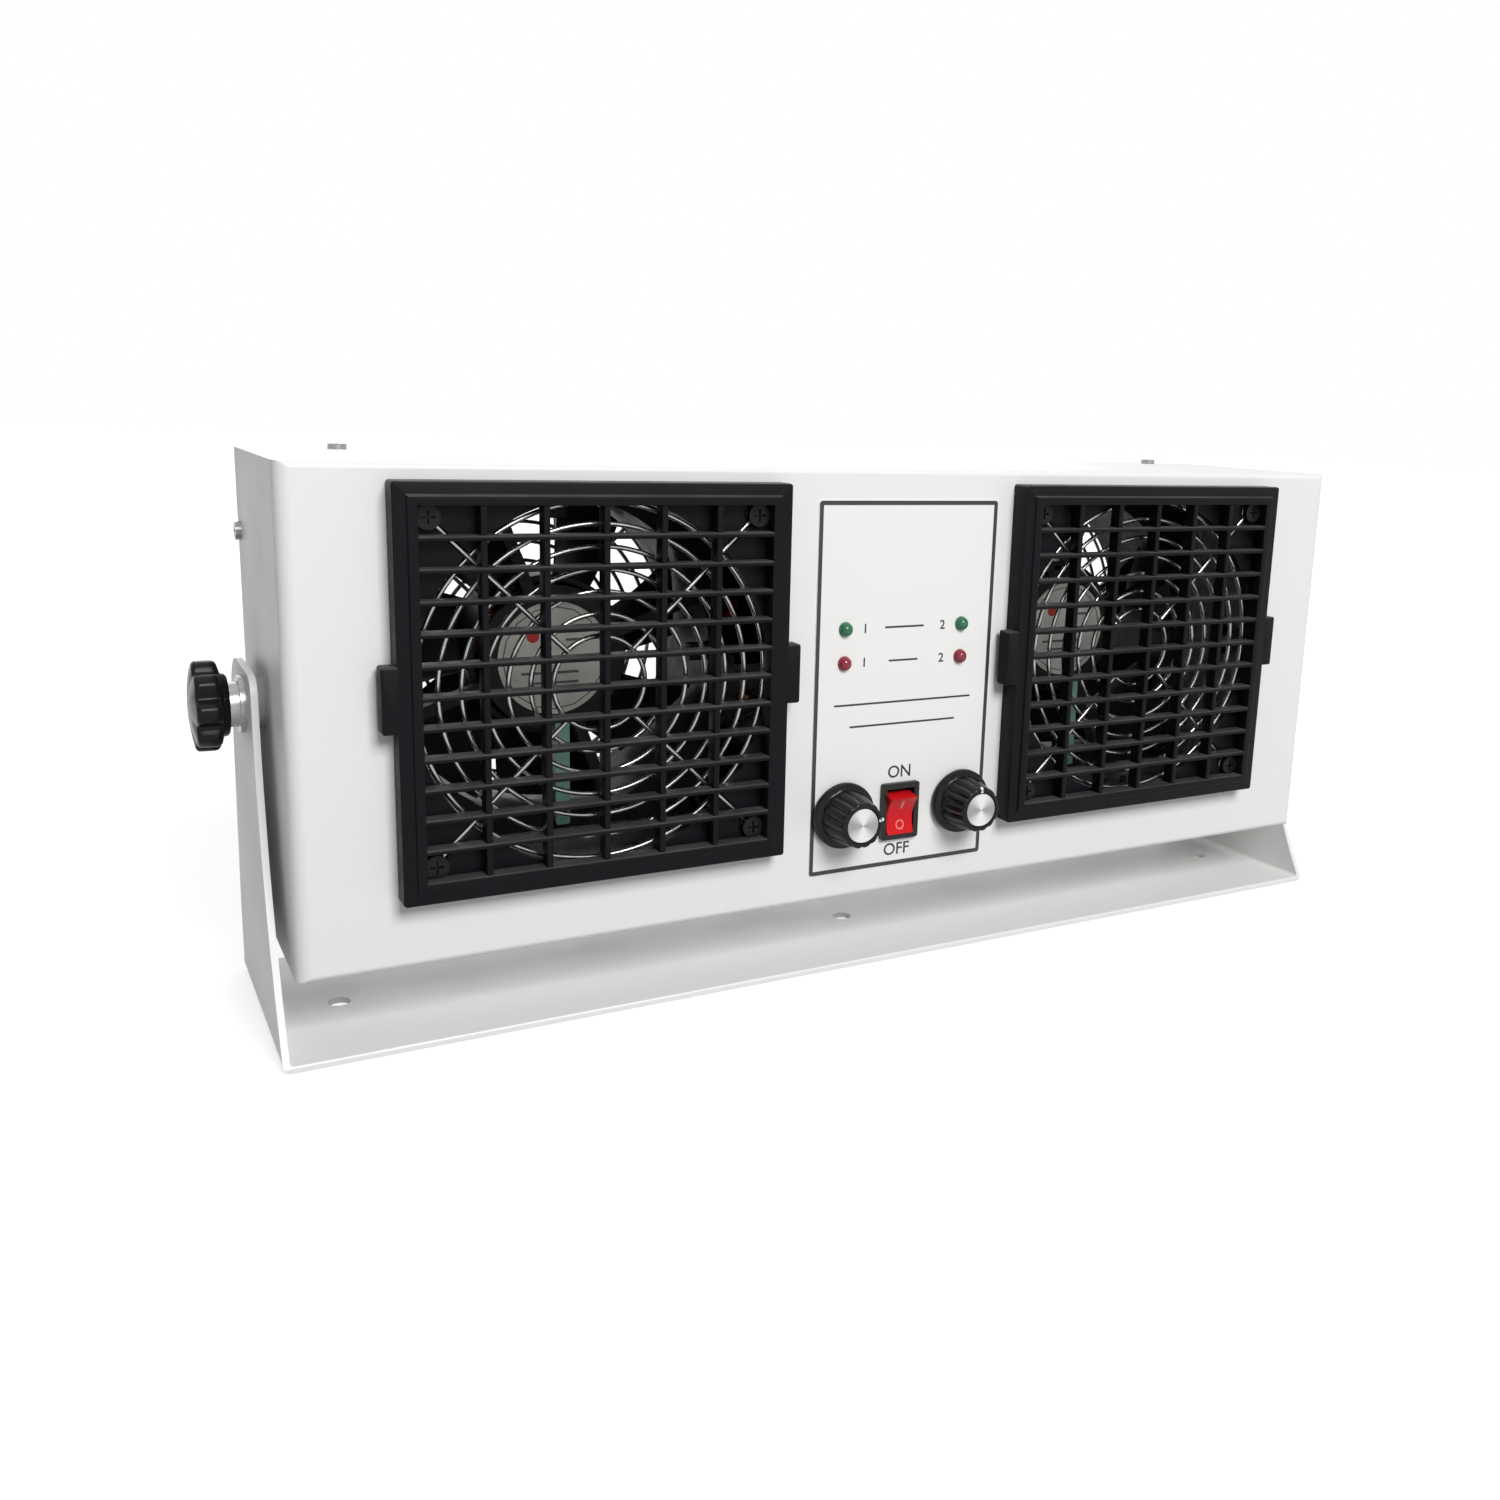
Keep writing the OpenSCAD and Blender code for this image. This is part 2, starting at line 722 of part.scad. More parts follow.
module knob_cap(x) {
    proud = 0.2;
    front = knob_back - knob_h;
    color("silver") rod_y(x, knob_z, cap_r, front - proud, front + cap_seat);
}

// ---- electronics ---------------------------------------------------------------------------

module control_board() {
    corner = 2;
    pad_r = lead_r + 0.1;
    color("seagreen") difference() {
        translate([0, 0, board_z]) extrude_y(board_y, board_y + board_t) rounded(board_w, board_h, corner);
        for (x = lamp_xs, z = [green_z, red_z], i = [-1, 1]) {
            rod_y(x + i * lead_x, mid_z + z, pad_r, board_y - cut, board_y + board_t + cut);
        }
    }
}

module board_standoffs() {
    inset = 4;
    r = 2.75;
    color("silver") for (i = [-1, 1], j = [-1, 1]) {
        rod_y(i * (board_w / 2 - inset), board_z + j * (board_h / 2 - inset), r, front_in, board_y);
    }
}

// The high-voltage supply: a potted box with fixing ears on the rear cover
module hv_supply() {
    x0 = -38;
    w = 72;
    z0 = 104;
    h = 58;
    depth = 34;
    ear = 7;
    ear_t = 2.5;
    ear_inset = 10;
    color("black") {
        translate([x0, rear_in - depth, z0]) cube([w, depth, h]);
        translate([x0 + ear_inset, rear_in - ear_t, z0 - ear])
            cube([w - 2 * ear_inset, ear_t, h + 2 * ear]);
    }
}

// An iron stack with two windows and a foot under each outer leg
module transformer_core() {
    color("gray") translate([core_x, core_y, core_z]) {
        difference() {
            cube([core_w, core_t, core_h]);
            for (x = [core_leg, core_w - core_leg - window_w]) {
                translate([x, -cut, core_leg]) cube([window_w, core_t + 2 * cut, window_h]);
            }
        }
        for (x = [0, core_w - core_leg]) translate([x, core_t, 0])
            cube([core_leg, rear_in - core_y - core_t, core_h]);
    }
}

// The coil round the middle leg, filling both windows
module transformer_winding() {
    w = core_w - 2 * core_leg;
    middle_w = w - 2 * window_w;
    color("saddlebrown") translate([core_x + core_leg, core_y, core_z + core_leg]) difference() {
        translate([0, -coil_bulge, 0]) cube([w, core_t + 2 * coil_bulge, window_h]);
        translate([window_w, 0, -cut]) cube([middle_w, core_t, window_h + 2 * cut]);
    }
}

module inlet_outline(w, h, chamfer) {
    polygon([
        [-w / 2, -h / 2], [w / 2, -h / 2], [w / 2, h / 2 - chamfer], [w / 2 - chamfer, h / 2],
        [-w / 2 + chamfer, h / 2], [-w / 2, h / 2 - chamfer]]);
}

module inlet_housing() {
    flange_w = 50;
    flange_h = 22.4;
    corner = 4;
    socket_w = 24.2;
    socket_h = 16.2;
    color("black") translate([inlet_x, 0, inlet_z]) difference() {
        union() {
            extrude_y(case_y1, case_y1 + inlet_rim) rounded(flange_w, flange_h, corner);
            extrude_y(inlet_floor - inlet_wall, case_y1 + cut) square([inlet_w, inlet_h], center = true);
        }
        extrude_y(inlet_floor, case_y1 + inlet_rim + cut) inlet_outline(socket_w, socket_h, corner);
        for (i = [-1, 1]) {
            rod_y(i * inlet_pitch / 2, 0, small_hole_r, case_y1 - cut, case_y1 + inlet_rim + cut);
        }
        for (p = contacts) translate([p[0], 0, p[1]])
            extrude_y(inlet_floor - inlet_wall - cut, inlet_floor + cut)
                square([contact_w, contact_h], center = true);
    }
}

module inlet_pins() {
    tail = 10;
    color("goldenrod") translate([inlet_x, 0, inlet_z]) for (p = contacts) {
        translate([p[0], 0, p[1]]) extrude_y(inlet_floor - tail, inlet_pin_tip)
            square([contact_w, contact_h], center = true);
    }
}

module earth_stud() {
    r = 2;
    length = 12;
    across = 7;
    nut_y = rear_in - 6;
    color("goldenrod") {
        rod_y(inlet_x, earth_z, r, rear_in - length, rear_in);
        hex_y(inlet_x, earth_z, across, nut_y, nut_y + 3.2);
    }
}

module mains_wires() {
    color("saddlebrown") for (route = [live_route, switched_route, neutral_route, earth_route]) {
        wire(route, mains_wire_r);
    }
}

module hv_leads() {
    color("firebrick") for (route = [left_hv_route, right_hv_route]) wire(route, hv_lead_r);
}

module fan_leads() {
    color("dimgray") for (route = [left_fan_route, right_fan_route]) wire(route, fan_lead_r);
}

// ---- ion emitters --------------------------------------------------------------------------

// A square plate on the fan's outlet face, with four lugs that reach into the air stream
module emitter_plate(x) {
    y0 = fan_y0 - emitter_t;
    opening_r = fan_bore / 2 - 1;
    lug_w = 6;
    color("black") difference() {
        translate([x, 0, fan_z]) extrude_y(y0, fan_y0) difference() {
            rounded(fan_size, fan_size, corner_r);
            difference() {
                circle(opening_r);
                for (a = [0 : 90 : 270]) rotate(a) translate([lug_r, -lug_w / 2])
                    square([opening_r - lug_r + cut, lug_w]);
            }
        }
        at_corners(x) rod_y(0, 0, screw_hole_r, y0 - cut, fan_y0 + cut);
    }
}

// The insulated feed bar that stands in front of each plate's lower lug
module emitter_bars() {
    y1 = fan_y0 - emitter_t;
    w = 5;
    h = 36;
    t = 4;
    drop = 39;               // the bar's middle below the fan's axis
    color("cadetblue") for (x = fan_xs) {
        translate([x, 0, fan_z - drop]) extrude_y(y1 - t, y1) rounded(w, h, 1);
    }
}

module emitter_needles() {
    needle_r = 0.6;
    tip_r = 0.1;
    length = 8;
    color("silver") for (x = fan_xs) translate([x, fan_y0 - emitter_t / 2, fan_z]) {
        for (a = [0 : 90 : 270]) rotate([0, a, 0]) translate([lug_r, 0, 0]) rotate([0, -90, 0])
            cylinder(r1 = needle_r, r2 = tip_r, h = length, $fn = facets);
    }
}

// ---- fans ----------------------------------------------------------------------------------

module fan_frame(x) {
    bore_r = fan_bore / 2;
    strut_w = 4;
    strut_t = 4;
    plate_y0 = fan_y0 + label_t;
    color("dimgray") difference() {
        translate([x, 0, fan_z]) {
            difference() {
                union() {
                    extrude_y(fan_y0, fan_y0 + flange_t) rounded(fan_size, fan_size, corner_r);
                    extrude_y(fan_y1 - flange_t, fan_y1) rounded(fan_size, fan_size, corner_r);
                    extrude_y(fan_y0, fan_y1) circle(barrel_r);
                }
                rod_y(0, 0, bore_r, fan_y0 - cut, fan_y1 + cut);
            }
            extrude_y(fan_y0, fan_y0 + strut_t) for (a = [20 : 90 : 290]) rotate(a)
                translate([plate_r - cut, -strut_w / 2]) square([bore_r - plate_r + 2 * cut, strut_w]);
            extrude_y(plate_y0, plate_y0 + plate_t) circle(plate_r);
            rod_y(0, 0, sleeve_r, plate_y0 + plate_t - cut, sleeve_end);
        }
        rod_y(x, fan_z, bearing_r, fan_y0 + 1.5, sleeve_end + cut);
        at_corners(x) rod_y(0, 0, screw_hole_r, fan_y0 - cut, fan_y1 + cut);
    }
}

module fan_labels() {
    color("lightgray") for (x = fan_xs) rod_y(x, fan_z, label_r, fan_y0, fan_y0 + label_t);
}

// Laminated star with the coils wound on its arms
module fan_stators() {
    coil_r = 17;
    coil_y0 = fan_y0 + 11;
    coil_y1 = coil_y0 + 16;
    star_r = 23;
    star_y0 = coil_y0 + 5;
    star_y1 = star_y0 + 6;
    slot_from = 13;
    slot_w = 3;
    color("peru") for (x = fan_xs) translate([x, 0, fan_z]) difference() {
        union() {
            extrude_y(star_y0, star_y1) difference() {
                circle(star_r);
                for (a = [45 : 90 : 315]) rotate(a)
                    translate([slot_from, -slot_w / 2]) square([star_r - slot_from + 2 * cut, slot_w]);
            }
            extrude_y(coil_y0, coil_y1) circle(coil_r);
        }
        rod_y(0, 0, sleeve_r, coil_y0 - cut, coil_y1 + cut);
    }
}

module fan_bearings() {
    bearing_t = 4;
    color("silver") for (x = fan_xs, y = [fan_y0 + 3, fan_y0 + 25]) difference() {
        rod_y(x, fan_z, bearing_r, y, y + bearing_t);
        rod_y(x, fan_z, shaft_r + running, y - cut, y + bearing_t + cut);
    }
}

// The impeller: a cup open to the front, with blades that meet its wall
module fan_impeller(x) {
    tip_r = fan_bore / 2 - tip_gap;
    cup_y0 = fan_y0 + 6;
    cup_y1 = fan_y1 - 2.5;
    end_t = 3;
    blade_y0 = fan_y0 + 8;
    blade_y1 = fan_y1 - 3;
    color("black") translate([x, 0, fan_z]) {
        difference() {
            rod_y(0, 0, hub_r, cup_y0, cup_y1);
            rod_y(0, 0, hub_r - hub_wall, cup_y0 - cut, cup_y1 - end_t);
            rod_y(0, 0, shaft_r, cup_y0, cup_y1 - 1);
        }
        intersection() {
            difference() {
                rod_y(0, 0, tip_r, blade_y0, blade_y1);
                rod_y(0, 0, hub_r - 1, blade_y0 - cut, blade_y1 + cut);
            }
            for (i = [0 : fan_blades - 1]) rotate([0, blade_rest + i * 360 / fan_blades, 0]) {
                translate([0, (blade_y0 + blade_y1) / 2, 0]) rotate([0, 0, blade_pitch]) blade(tip_r);
            }
        }
    }
}

// One blade: a strip of a tube's wall that widens towards its tip. The tube lies along the span
module blade(tip_r) {
    z0 = hub_r - 4;
    z1 = tip_r + 2;
    reach = blade_tip / 2;
    intersection() {
        translate([0, -blade_camber_r, z0]) difference() {
            cylinder(r = blade_camber_r + blade_t / 2, h = z1 - z0, $fn = 120);
            translate([0, 0, -cut])
                cylinder(r = blade_camber_r - blade_t / 2, h = z1 - z0 + 2 * cut, $fn = 120);
        }
        extrude_y(-reach, blade_t) polygon([
            [-blade_root / 2, z0], [blade_root / 2, z0], [blade_tip / 2, z1], [-blade_tip / 2, z1]]);
    }
}

module fan_shaft(x) {
    color("silver") rod_y(x, fan_z, shaft_r, fan_y0 + 3, fan_y1 - 3.5);
}

// ---- wire guards ---------------------------------------------------------------------------

// Rings round the fan's axis, with four spokes that end in fixing loops. The spokes lie in the
// plane y_spoke, and the rings beside them on the side given by turn
module wire_guard(x, y_spoke, turn) {
    y_ring = y_spoke + turn * (wire_d - weld);
    inner_r = guard_r - (ring_count - 1) * ring_step;
    eye_at = fan_pitch / sqrt(2);
    color("lightsteelblue") translate([x, 0, fan_z]) rotate([90, 0, 0]) {
        for (i = [0 : ring_count - 1]) translate([0, 0, -y_ring])
            rotate_extrude() translate([guard_r - i * ring_step, 0]) circle(wire_r, $fn = facets);
        for (a = [45 : 90 : 315]) rotate(a) translate([0, 0, -y_spoke]) {
            translate([inner_r, 0, 0]) rotate([0, 90, 0])
                cylinder(r = wire_r, h = eye_at - eye_r - inner_r, $fn = facets);
            translate([eye_at, 0, 0]) rotate_extrude() translate([eye_r, 0]) circle(wire_r, $fn = facets);
        }
    }
}

module front_guard(x) {
    wire_guard(x, case_y0 - base_t + wire_r, 1);
}

module rear_guard(x) {
    wire_guard(x, case_y1 + wire_r, 1);
}

// Screws through the guards' loops: short ones in front, long ones through the fans
module guard_screws() {
    front_length = 9;
    rear_y = case_y1 + wire_d;
    rear_length = rear_y - fan_y0 + emitter_t + 4;
    color("black") at_all_corners() {
        translate([0, case_y0 - base_t, 0]) rotate([90, 0, 0])
            pan_screw(screw_r, head_r, head_h, front_length);
        translate([0, rear_y, 0]) rotate([-90, 0, 0]) pan_screw(screw_r, head_r, head_h, rear_length);
    }
}

module guard_nut(y0) {
    difference() {
        hex_y(0, 0, screw_nut, y0, y0 + screw_nut_t);
        rod_y(0, 0, screw_r, y0 - cut, y0 + screw_nut_t + cut);
    }
}

module guard_nuts() {
    color("silver") at_all_corners() {
        guard_nut(front_in);
        guard_nut(fan_y0 - emitter_t - screw_nut_t);
    }
}

// ---- filter bases and covers ---------------------------------------------------------------

// A square plate with a round opening, grooved for the guard's spokes and loops
module filter_base(x) {
    y0 = case_y0 - base_t;
    groove_y = y0 + wire_d;
    groove_r = wire_r + 0.2;
    corner = 3;
    color("black") difference() {
        translate([x, 0, fan_z]) extrude_y(y0, case_y0) difference() {
            rounded(2 * base_half, 2 * base_half, corner);
            circle(guard_r + wire_r + 0.6);
        }
        at_corners(x) {
            rod_y(0, 0, screw_hole_r, y0 - cut, case_y0 + cut);
            rod_y(0, 0, eye_r + wire_r + 0.3, y0 - cut, groove_y);
        }
        translate([x, 0, fan_z]) extrude_y(y0 - cut, groove_y) for (a = [45 : 90 : 315]) rotate(a)
            translate([guard_r - 2, -groove_r]) square([fan_pitch / sqrt(2) - guard_r, 2 * groove_r]);
    }
}

// The clip-on louvre: a skirt, a flat flange, a raised lip, slats, upright bars and finger tabs,
// with a pocket over each screw head behind it
module filter_cover(x) {
    front = case_y0 - cover_rise;
    step_y = front + lip_step;
    floor_y = case_y0 - base_t - 0.2;
    slat_end = floor_y;
    lip = louvre_size + 2 * lip_w;
    head_room = 0.7;
    corner = 1.5;
    lip_corner = 1;
    tab_step = 2.5;
    tab_root = 2;
    color("black") translate([x, 0, fan_z]) {
        difference() {
            union() {
                extrude_y(step_y, case_y0) rounded(cover_size, cover_size, corner);
                extrude_y(front, step_y + cut) rounded(lip, lip, lip_corner);
                for (i = [-1, 1]) translate([i * (cover_size + tab_reach - tab_root) / 2, 0])
                    extrude_y(front + tab_step, case_y0) rounded(tab_reach + tab_root, tab_h, lip_corner);
            }
            extrude_y(front - cut, case_y0 + cut) square(louvre_size, center = true);
            extrude_y(floor_y, case_y0 + cut) square(cover_size - 2 * skirt_t, center = true);
            for (i = [-1, 1], j = [-1, 1]) {
                rod_y(i * fan_pitch / 2, j * fan_pitch / 2, head_r + head_room,
                    case_y0 - base_t - head_h - head_room, case_y0);
            }
        }
        extrude_y(front, slat_end) {
            for (i = [1 : slat_count]) translate([0, -louvre_size / 2 + i * cell_z])
                square([louvre_size + cut, slat_t], center = true);
            for (i = [1 : bar_count]) translate([-louvre_size / 2 + i * cell_x, 0])
                square([bar_t, louvre_size + cut], center = true);
        }
    }
}

// ---- what is drawn -------------------------------------------------------------------------

mounting_bracket();
front_shell();
rear_cover();
cover_screws();
pivot_nuts();
pivot_spacers();
tilt_washers();
mirror([1, 0, 0]) tilt_knob();  // tilt_knob_left
tilt_knob();  // tilt_knob_right
mirror([1, 0, 0]) tilt_stud();  // tilt_stud_left
tilt_stud();  // tilt_stud_right
panel_overlay();
green_leds();
red_leds();
led_clips();
rocker_bezel();
power_rocker();
rocker_terminals();
potentiometers();
pot_nuts();
adjusting_knob(knob_xs[0]);  // speed_knob
knob_cap(knob_xs[0]);  // speed_knob_cap
pot_shaft(knob_xs[0]);  // speed_pot_shaft
adjusting_knob(knob_xs[1]);  // balance_knob
knob_cap(knob_xs[1]);  // balance_knob_cap
pot_shaft(knob_xs[1]);  // balance_pot_shaft
control_board();
board_standoffs();
hv_supply();
transformer_core();
transformer_winding();
inlet_housing();
inlet_pins();
earth_stud();
mains_wires();
hv_leads();
fan_leads();
emitter_plate(left_fan_x);  // emitter_plate_left
emitter_plate(right_fan_x);  // emitter_plate_right
emitter_bars();
emitter_needles();
fan_frame(left_fan_x);  // fan_frame_left
fan_frame(right_fan_x);  // fan_frame_right
fan_stators();
fan_labels();
fan_bearings();
fan_impeller(left_fan_x);  // fan_impeller_left
fan_impeller(right_fan_x);  // fan_impeller_right
fan_shaft(left_fan_x);  // fan_shaft_left
fan_shaft(right_fan_x);  // fan_shaft_right
front_guard(left_fan_x);  // front_guard_left
front_guard(right_fan_x);  // front_guard_right
rear_guard(left_fan_x);  // rear_guard_left
rear_guard(right_fan_x);  // rear_guard_right
filter_base(left_fan_x);  // filter_base_left
filter_base(right_fan_x);  // filter_base_right
filter_cover(left_fan_x);  // filter_cover_left
filter_cover(right_fan_x);  // filter_cover_right
guard_screws();
guard_nuts();
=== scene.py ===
"""Ionizing air blower: finishes for every part, finely modelled pieces where they show, floor,
light and camera.

Lengths are in metres. X runs to the right, Y from the outlet side to the rear and Z up, as in the
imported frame. Every size that a piece takes from its neighbours is read from the frame, and the
rest are fields of its class.
"""
import json
import logging
import math
from dataclasses import dataclass, field, replace
from enum import Enum
from typing import Iterable, Sequence

import bpy
import numpy as np
from mathutils import Matrix, Vector


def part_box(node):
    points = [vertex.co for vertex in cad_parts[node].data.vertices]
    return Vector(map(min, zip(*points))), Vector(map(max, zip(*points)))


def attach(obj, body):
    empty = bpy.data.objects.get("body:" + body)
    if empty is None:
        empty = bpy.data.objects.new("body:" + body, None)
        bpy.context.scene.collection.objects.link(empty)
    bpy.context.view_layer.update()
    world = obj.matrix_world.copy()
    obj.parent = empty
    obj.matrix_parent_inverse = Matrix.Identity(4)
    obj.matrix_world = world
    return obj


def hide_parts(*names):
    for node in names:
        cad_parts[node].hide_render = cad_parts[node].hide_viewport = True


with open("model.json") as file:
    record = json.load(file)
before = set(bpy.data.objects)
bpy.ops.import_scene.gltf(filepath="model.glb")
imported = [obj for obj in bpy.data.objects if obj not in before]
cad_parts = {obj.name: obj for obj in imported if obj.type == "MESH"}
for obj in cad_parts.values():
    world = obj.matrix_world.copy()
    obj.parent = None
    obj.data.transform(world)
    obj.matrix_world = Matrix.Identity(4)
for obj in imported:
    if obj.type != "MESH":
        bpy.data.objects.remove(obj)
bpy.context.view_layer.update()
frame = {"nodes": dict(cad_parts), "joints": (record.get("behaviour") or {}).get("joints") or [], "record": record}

MM = 0.001
LEVEL = np.array([1, 0, 1])
FULL_TURN = 2 * math.pi
LOG = logging.getLogger("blower")
Point = tuple[float, float, float]


class Slot(Enum):
    """The material slots of the record."""

    WHITE_PAINT = "white_powder_coat"
    PANEL_FILM = "panel_film"
    LOUVRE = "black_louvre"
    FAN = "fan_black"
    KNOB = "knob_black"
    TILT_KNOB = "tilt_knob_black"
    CHROME = "chrome_wire"
    ZINC = "zinc_steel"
    BLACK_STEEL = "black_steel"
    SPUN = "spun_aluminium"
    RED = "red_plastic"
    SWITCH = "switch_black"
    GREEN_LAMP = "green_lamp"
    RED_LAMP = "red_lamp"
    LABEL = "fan_label"
    INSULATOR = "insulator"
    BRASS = "brass"
    BOARD = "board_green"
    POTTING = "potting_black"
    LAMINATIONS = "lamination_steel"
    COPPER = "copper_winding"
    WIRE_BROWN = "wire_brown"
    WIRE_RED = "wire_red"
    WIRE_GREY = "wire_grey"
    FIBRE = "friction_fibre"


class Ink(Enum):
    """The inks that are printed on the panel, the labels, the rocker and the dials."""

    PANEL = "printed_ink"
    LABEL = "label_ink"
    RED = "red_ink"
    ROCKER = "rocker_ink"
    WHITE = "white_ink"


class Side(Enum):
    """The two fans, as seen from the outlet side."""

    LEFT = "left"
    RIGHT = "right"


# ---- finishes ------------------------------------------------------------------------------------------


def combined(tree: bpy.types.NodeTree, operation: str, first: bpy.types.NodeSocket,
             second: bpy.types.NodeSocket | float) -> bpy.types.NodeSocket:
    """Work out one number from two.

    Args:
        tree: The node tree to add to.
        operation: What to do with them, such as MAXIMUM.
        first: The socket that gives the first number.
        second: The second number, or the socket that gives it.

    Returns:
        The result.
    """
    node = tree.nodes.new("ShaderNodeMath")
    node.operation = operation
    tree.links.new(first, node.inputs[0])
    if isinstance(second, bpy.types.NodeSocket):
        tree.links.new(second, node.inputs[1])
    else:
        node.inputs[1].default_value = second
    return node.outputs[0]


class Recipe:
    """A material's node tree while it is put together."""

    noise_range = (0.3, 0.7)

    def __init__(self, name: str) -> None:
        """Start a material with a Principled shader.

        Args:
            name: The material's name.
        """
        self.material = bpy.data.materials.new(name)
        self.material.use_nodes = True
        self.tree = self.material.node_tree
        self.shader = self.tree.nodes["Principled BSDF"]
        self.place = self.tree.nodes.new("ShaderNodeTexCoord").outputs["Object"]

    def fill(self, node: bpy.types.Node, **values: object) -> None:
        """Set a node's sockets by name.

        Args:
            node: The node.
            values: Socket values or source sockets, with spaces in socket names written as underscores.
        """
        for key, value in values.items():
            socket = node.inputs[key.replace("_", " ")]
            if isinstance(value, bpy.types.NodeSocket):
                self.tree.links.new(value, socket)
            else:
                socket.default_value = value

    def set(self, **values: object) -> None:
        """Set the shader's own sockets, as fill does."""
        self.fill(self.shader, **values)

    def add(self, kind: str, **values: object) -> bpy.types.Node:
        """Add a node and set its sockets.

        Args:
            kind: The node's type, without the ShaderNode prefix.
            values: Its sockets, as fill takes them.

        Returns:
            The new node.
        """
        node = self.tree.nodes.new("ShaderNode" + kind)
        self.fill(node, **values)
        return node

    def noise(self, size: float, detail: float = 2.0, stretch: Point = (1, 1, 1)) -> bpy.types.NodeSocket:
        """Noise on object coordinates.

        Args:
            size: Width of a patch, in metres.
            detail: Number of finer layers.
            stretch: How much finer the patches are along X, Y and Z.

        Returns:
            The noise's value, which mostly keeps to noise_range.
        """
        mapped = self.add("Mapping", Vector=self.place, Scale=stretch)
        return self.add("TexNoise", Vector=mapped.outputs[0], Scale=1 / size, Detail=detail).outputs[0]

    def between(self, low: float, high: float, value: bpy.types.NodeSocket) -> bpy.types.NodeSocket:
        """Spread noise over a range, from low where the noise is low to high where it is high."""
        least, most = self.noise_range
        spread = self.add("MapRange", Value=value, From_Min=least, From_Max=most, To_Min=low, To_Max=high)
        return spread.outputs[0]

    def blend(self, dark: Sequence[float], light: Sequence[float],
              value: bpy.types.NodeSocket) -> bpy.types.NodeSocket:
        """Mix two colours by a value.

        Args:
            dark: Colour where the value is 0.
            light: Colour where the value is 1.
            value: The share of the second colour.

        Returns:
            The mixed colour.
        """
        node = self.add("Mix")
        node.data_type = "RGBA"
        self.tree.links.new(value, node.inputs[0])
        node.inputs[6].default_value = (*dark, 1)
        node.inputs[7].default_value = (*light, 1)
        return node.outputs[2]

    def relief(self, height: bpy.types.NodeSocket, depth: float) -> None:
        """Give the surface a bump of a depth in metres, from a height of 0 to 1."""
        self.set(Normal=self.add("Bump", Height=height, Distance=depth, Strength=1.0).outputs[0])


@dataclass(frozen=True)
class Finish:
    """A plain surface whose colour and gloss wander a little, with a fine grain. Its tint, its gloss and its
    texture are each added to the recipe of the material under construction."""

    colour: Point
    roughness: float
    metallic: float = 0.0
    mottle: float = 0.03
    mottle_size: float = 0.03
    gloss_spread: float = 0.05
    grain_size: float = 0.0008
    grain_depth: float = 0.000006
    level: float = 0.5

    def material(self, name: str) -> bpy.types.Material:
        """Build the finish.

        Args:
            name: The material's name.

        Returns:
            The material.
        """
        recipe = Recipe(name)
        recipe.set(Metallic=self.metallic, Specular_IOR_Level=self.level)
        self.tint(recipe)
        self.gloss(recipe)
        self.texture(recipe)
        return recipe.material

    def tint(self, recipe: Recipe) -> None:
        """Colour the surface in soft patches, a little darker and a little lighter than its colour."""
        dark = [c * (1 - self.mottle) for c in self.colour]
        light = [min(1.0, c * (1 + self.mottle)) for c in self.colour]
        recipe.set(Base_Color=recipe.blend(dark, light, recipe.noise(self.mottle_size, 3)))

    def gloss(self, recipe: Recipe) -> None:
        """Let the roughness wander."""
        low, high = self.roughness - self.gloss_spread, self.roughness + self.gloss_spread
        recipe.set(Roughness=recipe.between(low, high, recipe.noise(self.mottle_size / 3, 2)))

    def texture(self, recipe: Recipe) -> None:
        """Press the fine grain into the surface."""
        recipe.relief(recipe.noise(self.grain_size, 1), self.grain_depth)


@dataclass(frozen=True)
class PowderCoat(Finish):
    """Baked powder paint: a fine orange peel over long, shallow waves."""

    wave_size: float = 0.012
    wave_share: float = 0.35

    def texture(self, recipe: Recipe) -> None:
        """Add the orange peel and the waves."""
        peel, waves = recipe.noise(self.grain_size, 2), recipe.noise(self.wave_size, 1)
        total = recipe.add("Mix", Factor=self.wave_share, A=peel, B=waves)
        recipe.relief(total.outputs[0], self.grain_depth)


@dataclass(frozen=True)
class PaintedTopLight(Finish):
    """A dark moulding whose faces that look up are painted lighter in patches, as painted light from above."""

    # Colour of the painted light from above on the faces that look up
    painted_top_light: Point = (0.085, 0.082, 0.08)
    steep: float = 0.05
    level_enough: float = 0.8

    def tint(self, recipe: Recipe) -> None:
        """Paint light from above: lighten the surface in step with the upward part of its normal, less where the
        noise is low.
        """
        upward = recipe.add("SeparateXYZ", Vector=recipe.add("NewGeometry").outputs["Normal"]).outputs["Z"]
        most = recipe.between(0.5, 1.0, recipe.noise(self.mottle_size, 3))
        share = recipe.add("MapRange", Value=upward, From_Min=self.steep, From_Max=self.level_enough,
                           To_Min=0.0, To_Max=most)
        recipe.set(Base_Color=recipe.blend(self.colour, self.painted_top_light, share.outputs[0]))


@dataclass(frozen=True)
class Brushed(Finish):
    """Metal or fibre with fine scratches along X."""

    stretch: Point = (1, 30, 30)
    scratch: float = 20

    def texture(self, recipe: Recipe) -> None:
        """Scratch the surface, each scratch so many grains long before it is stretched."""
        recipe.relief(recipe.noise(self.grain_size * self.scratch, 3, self.stretch), self.grain_depth)


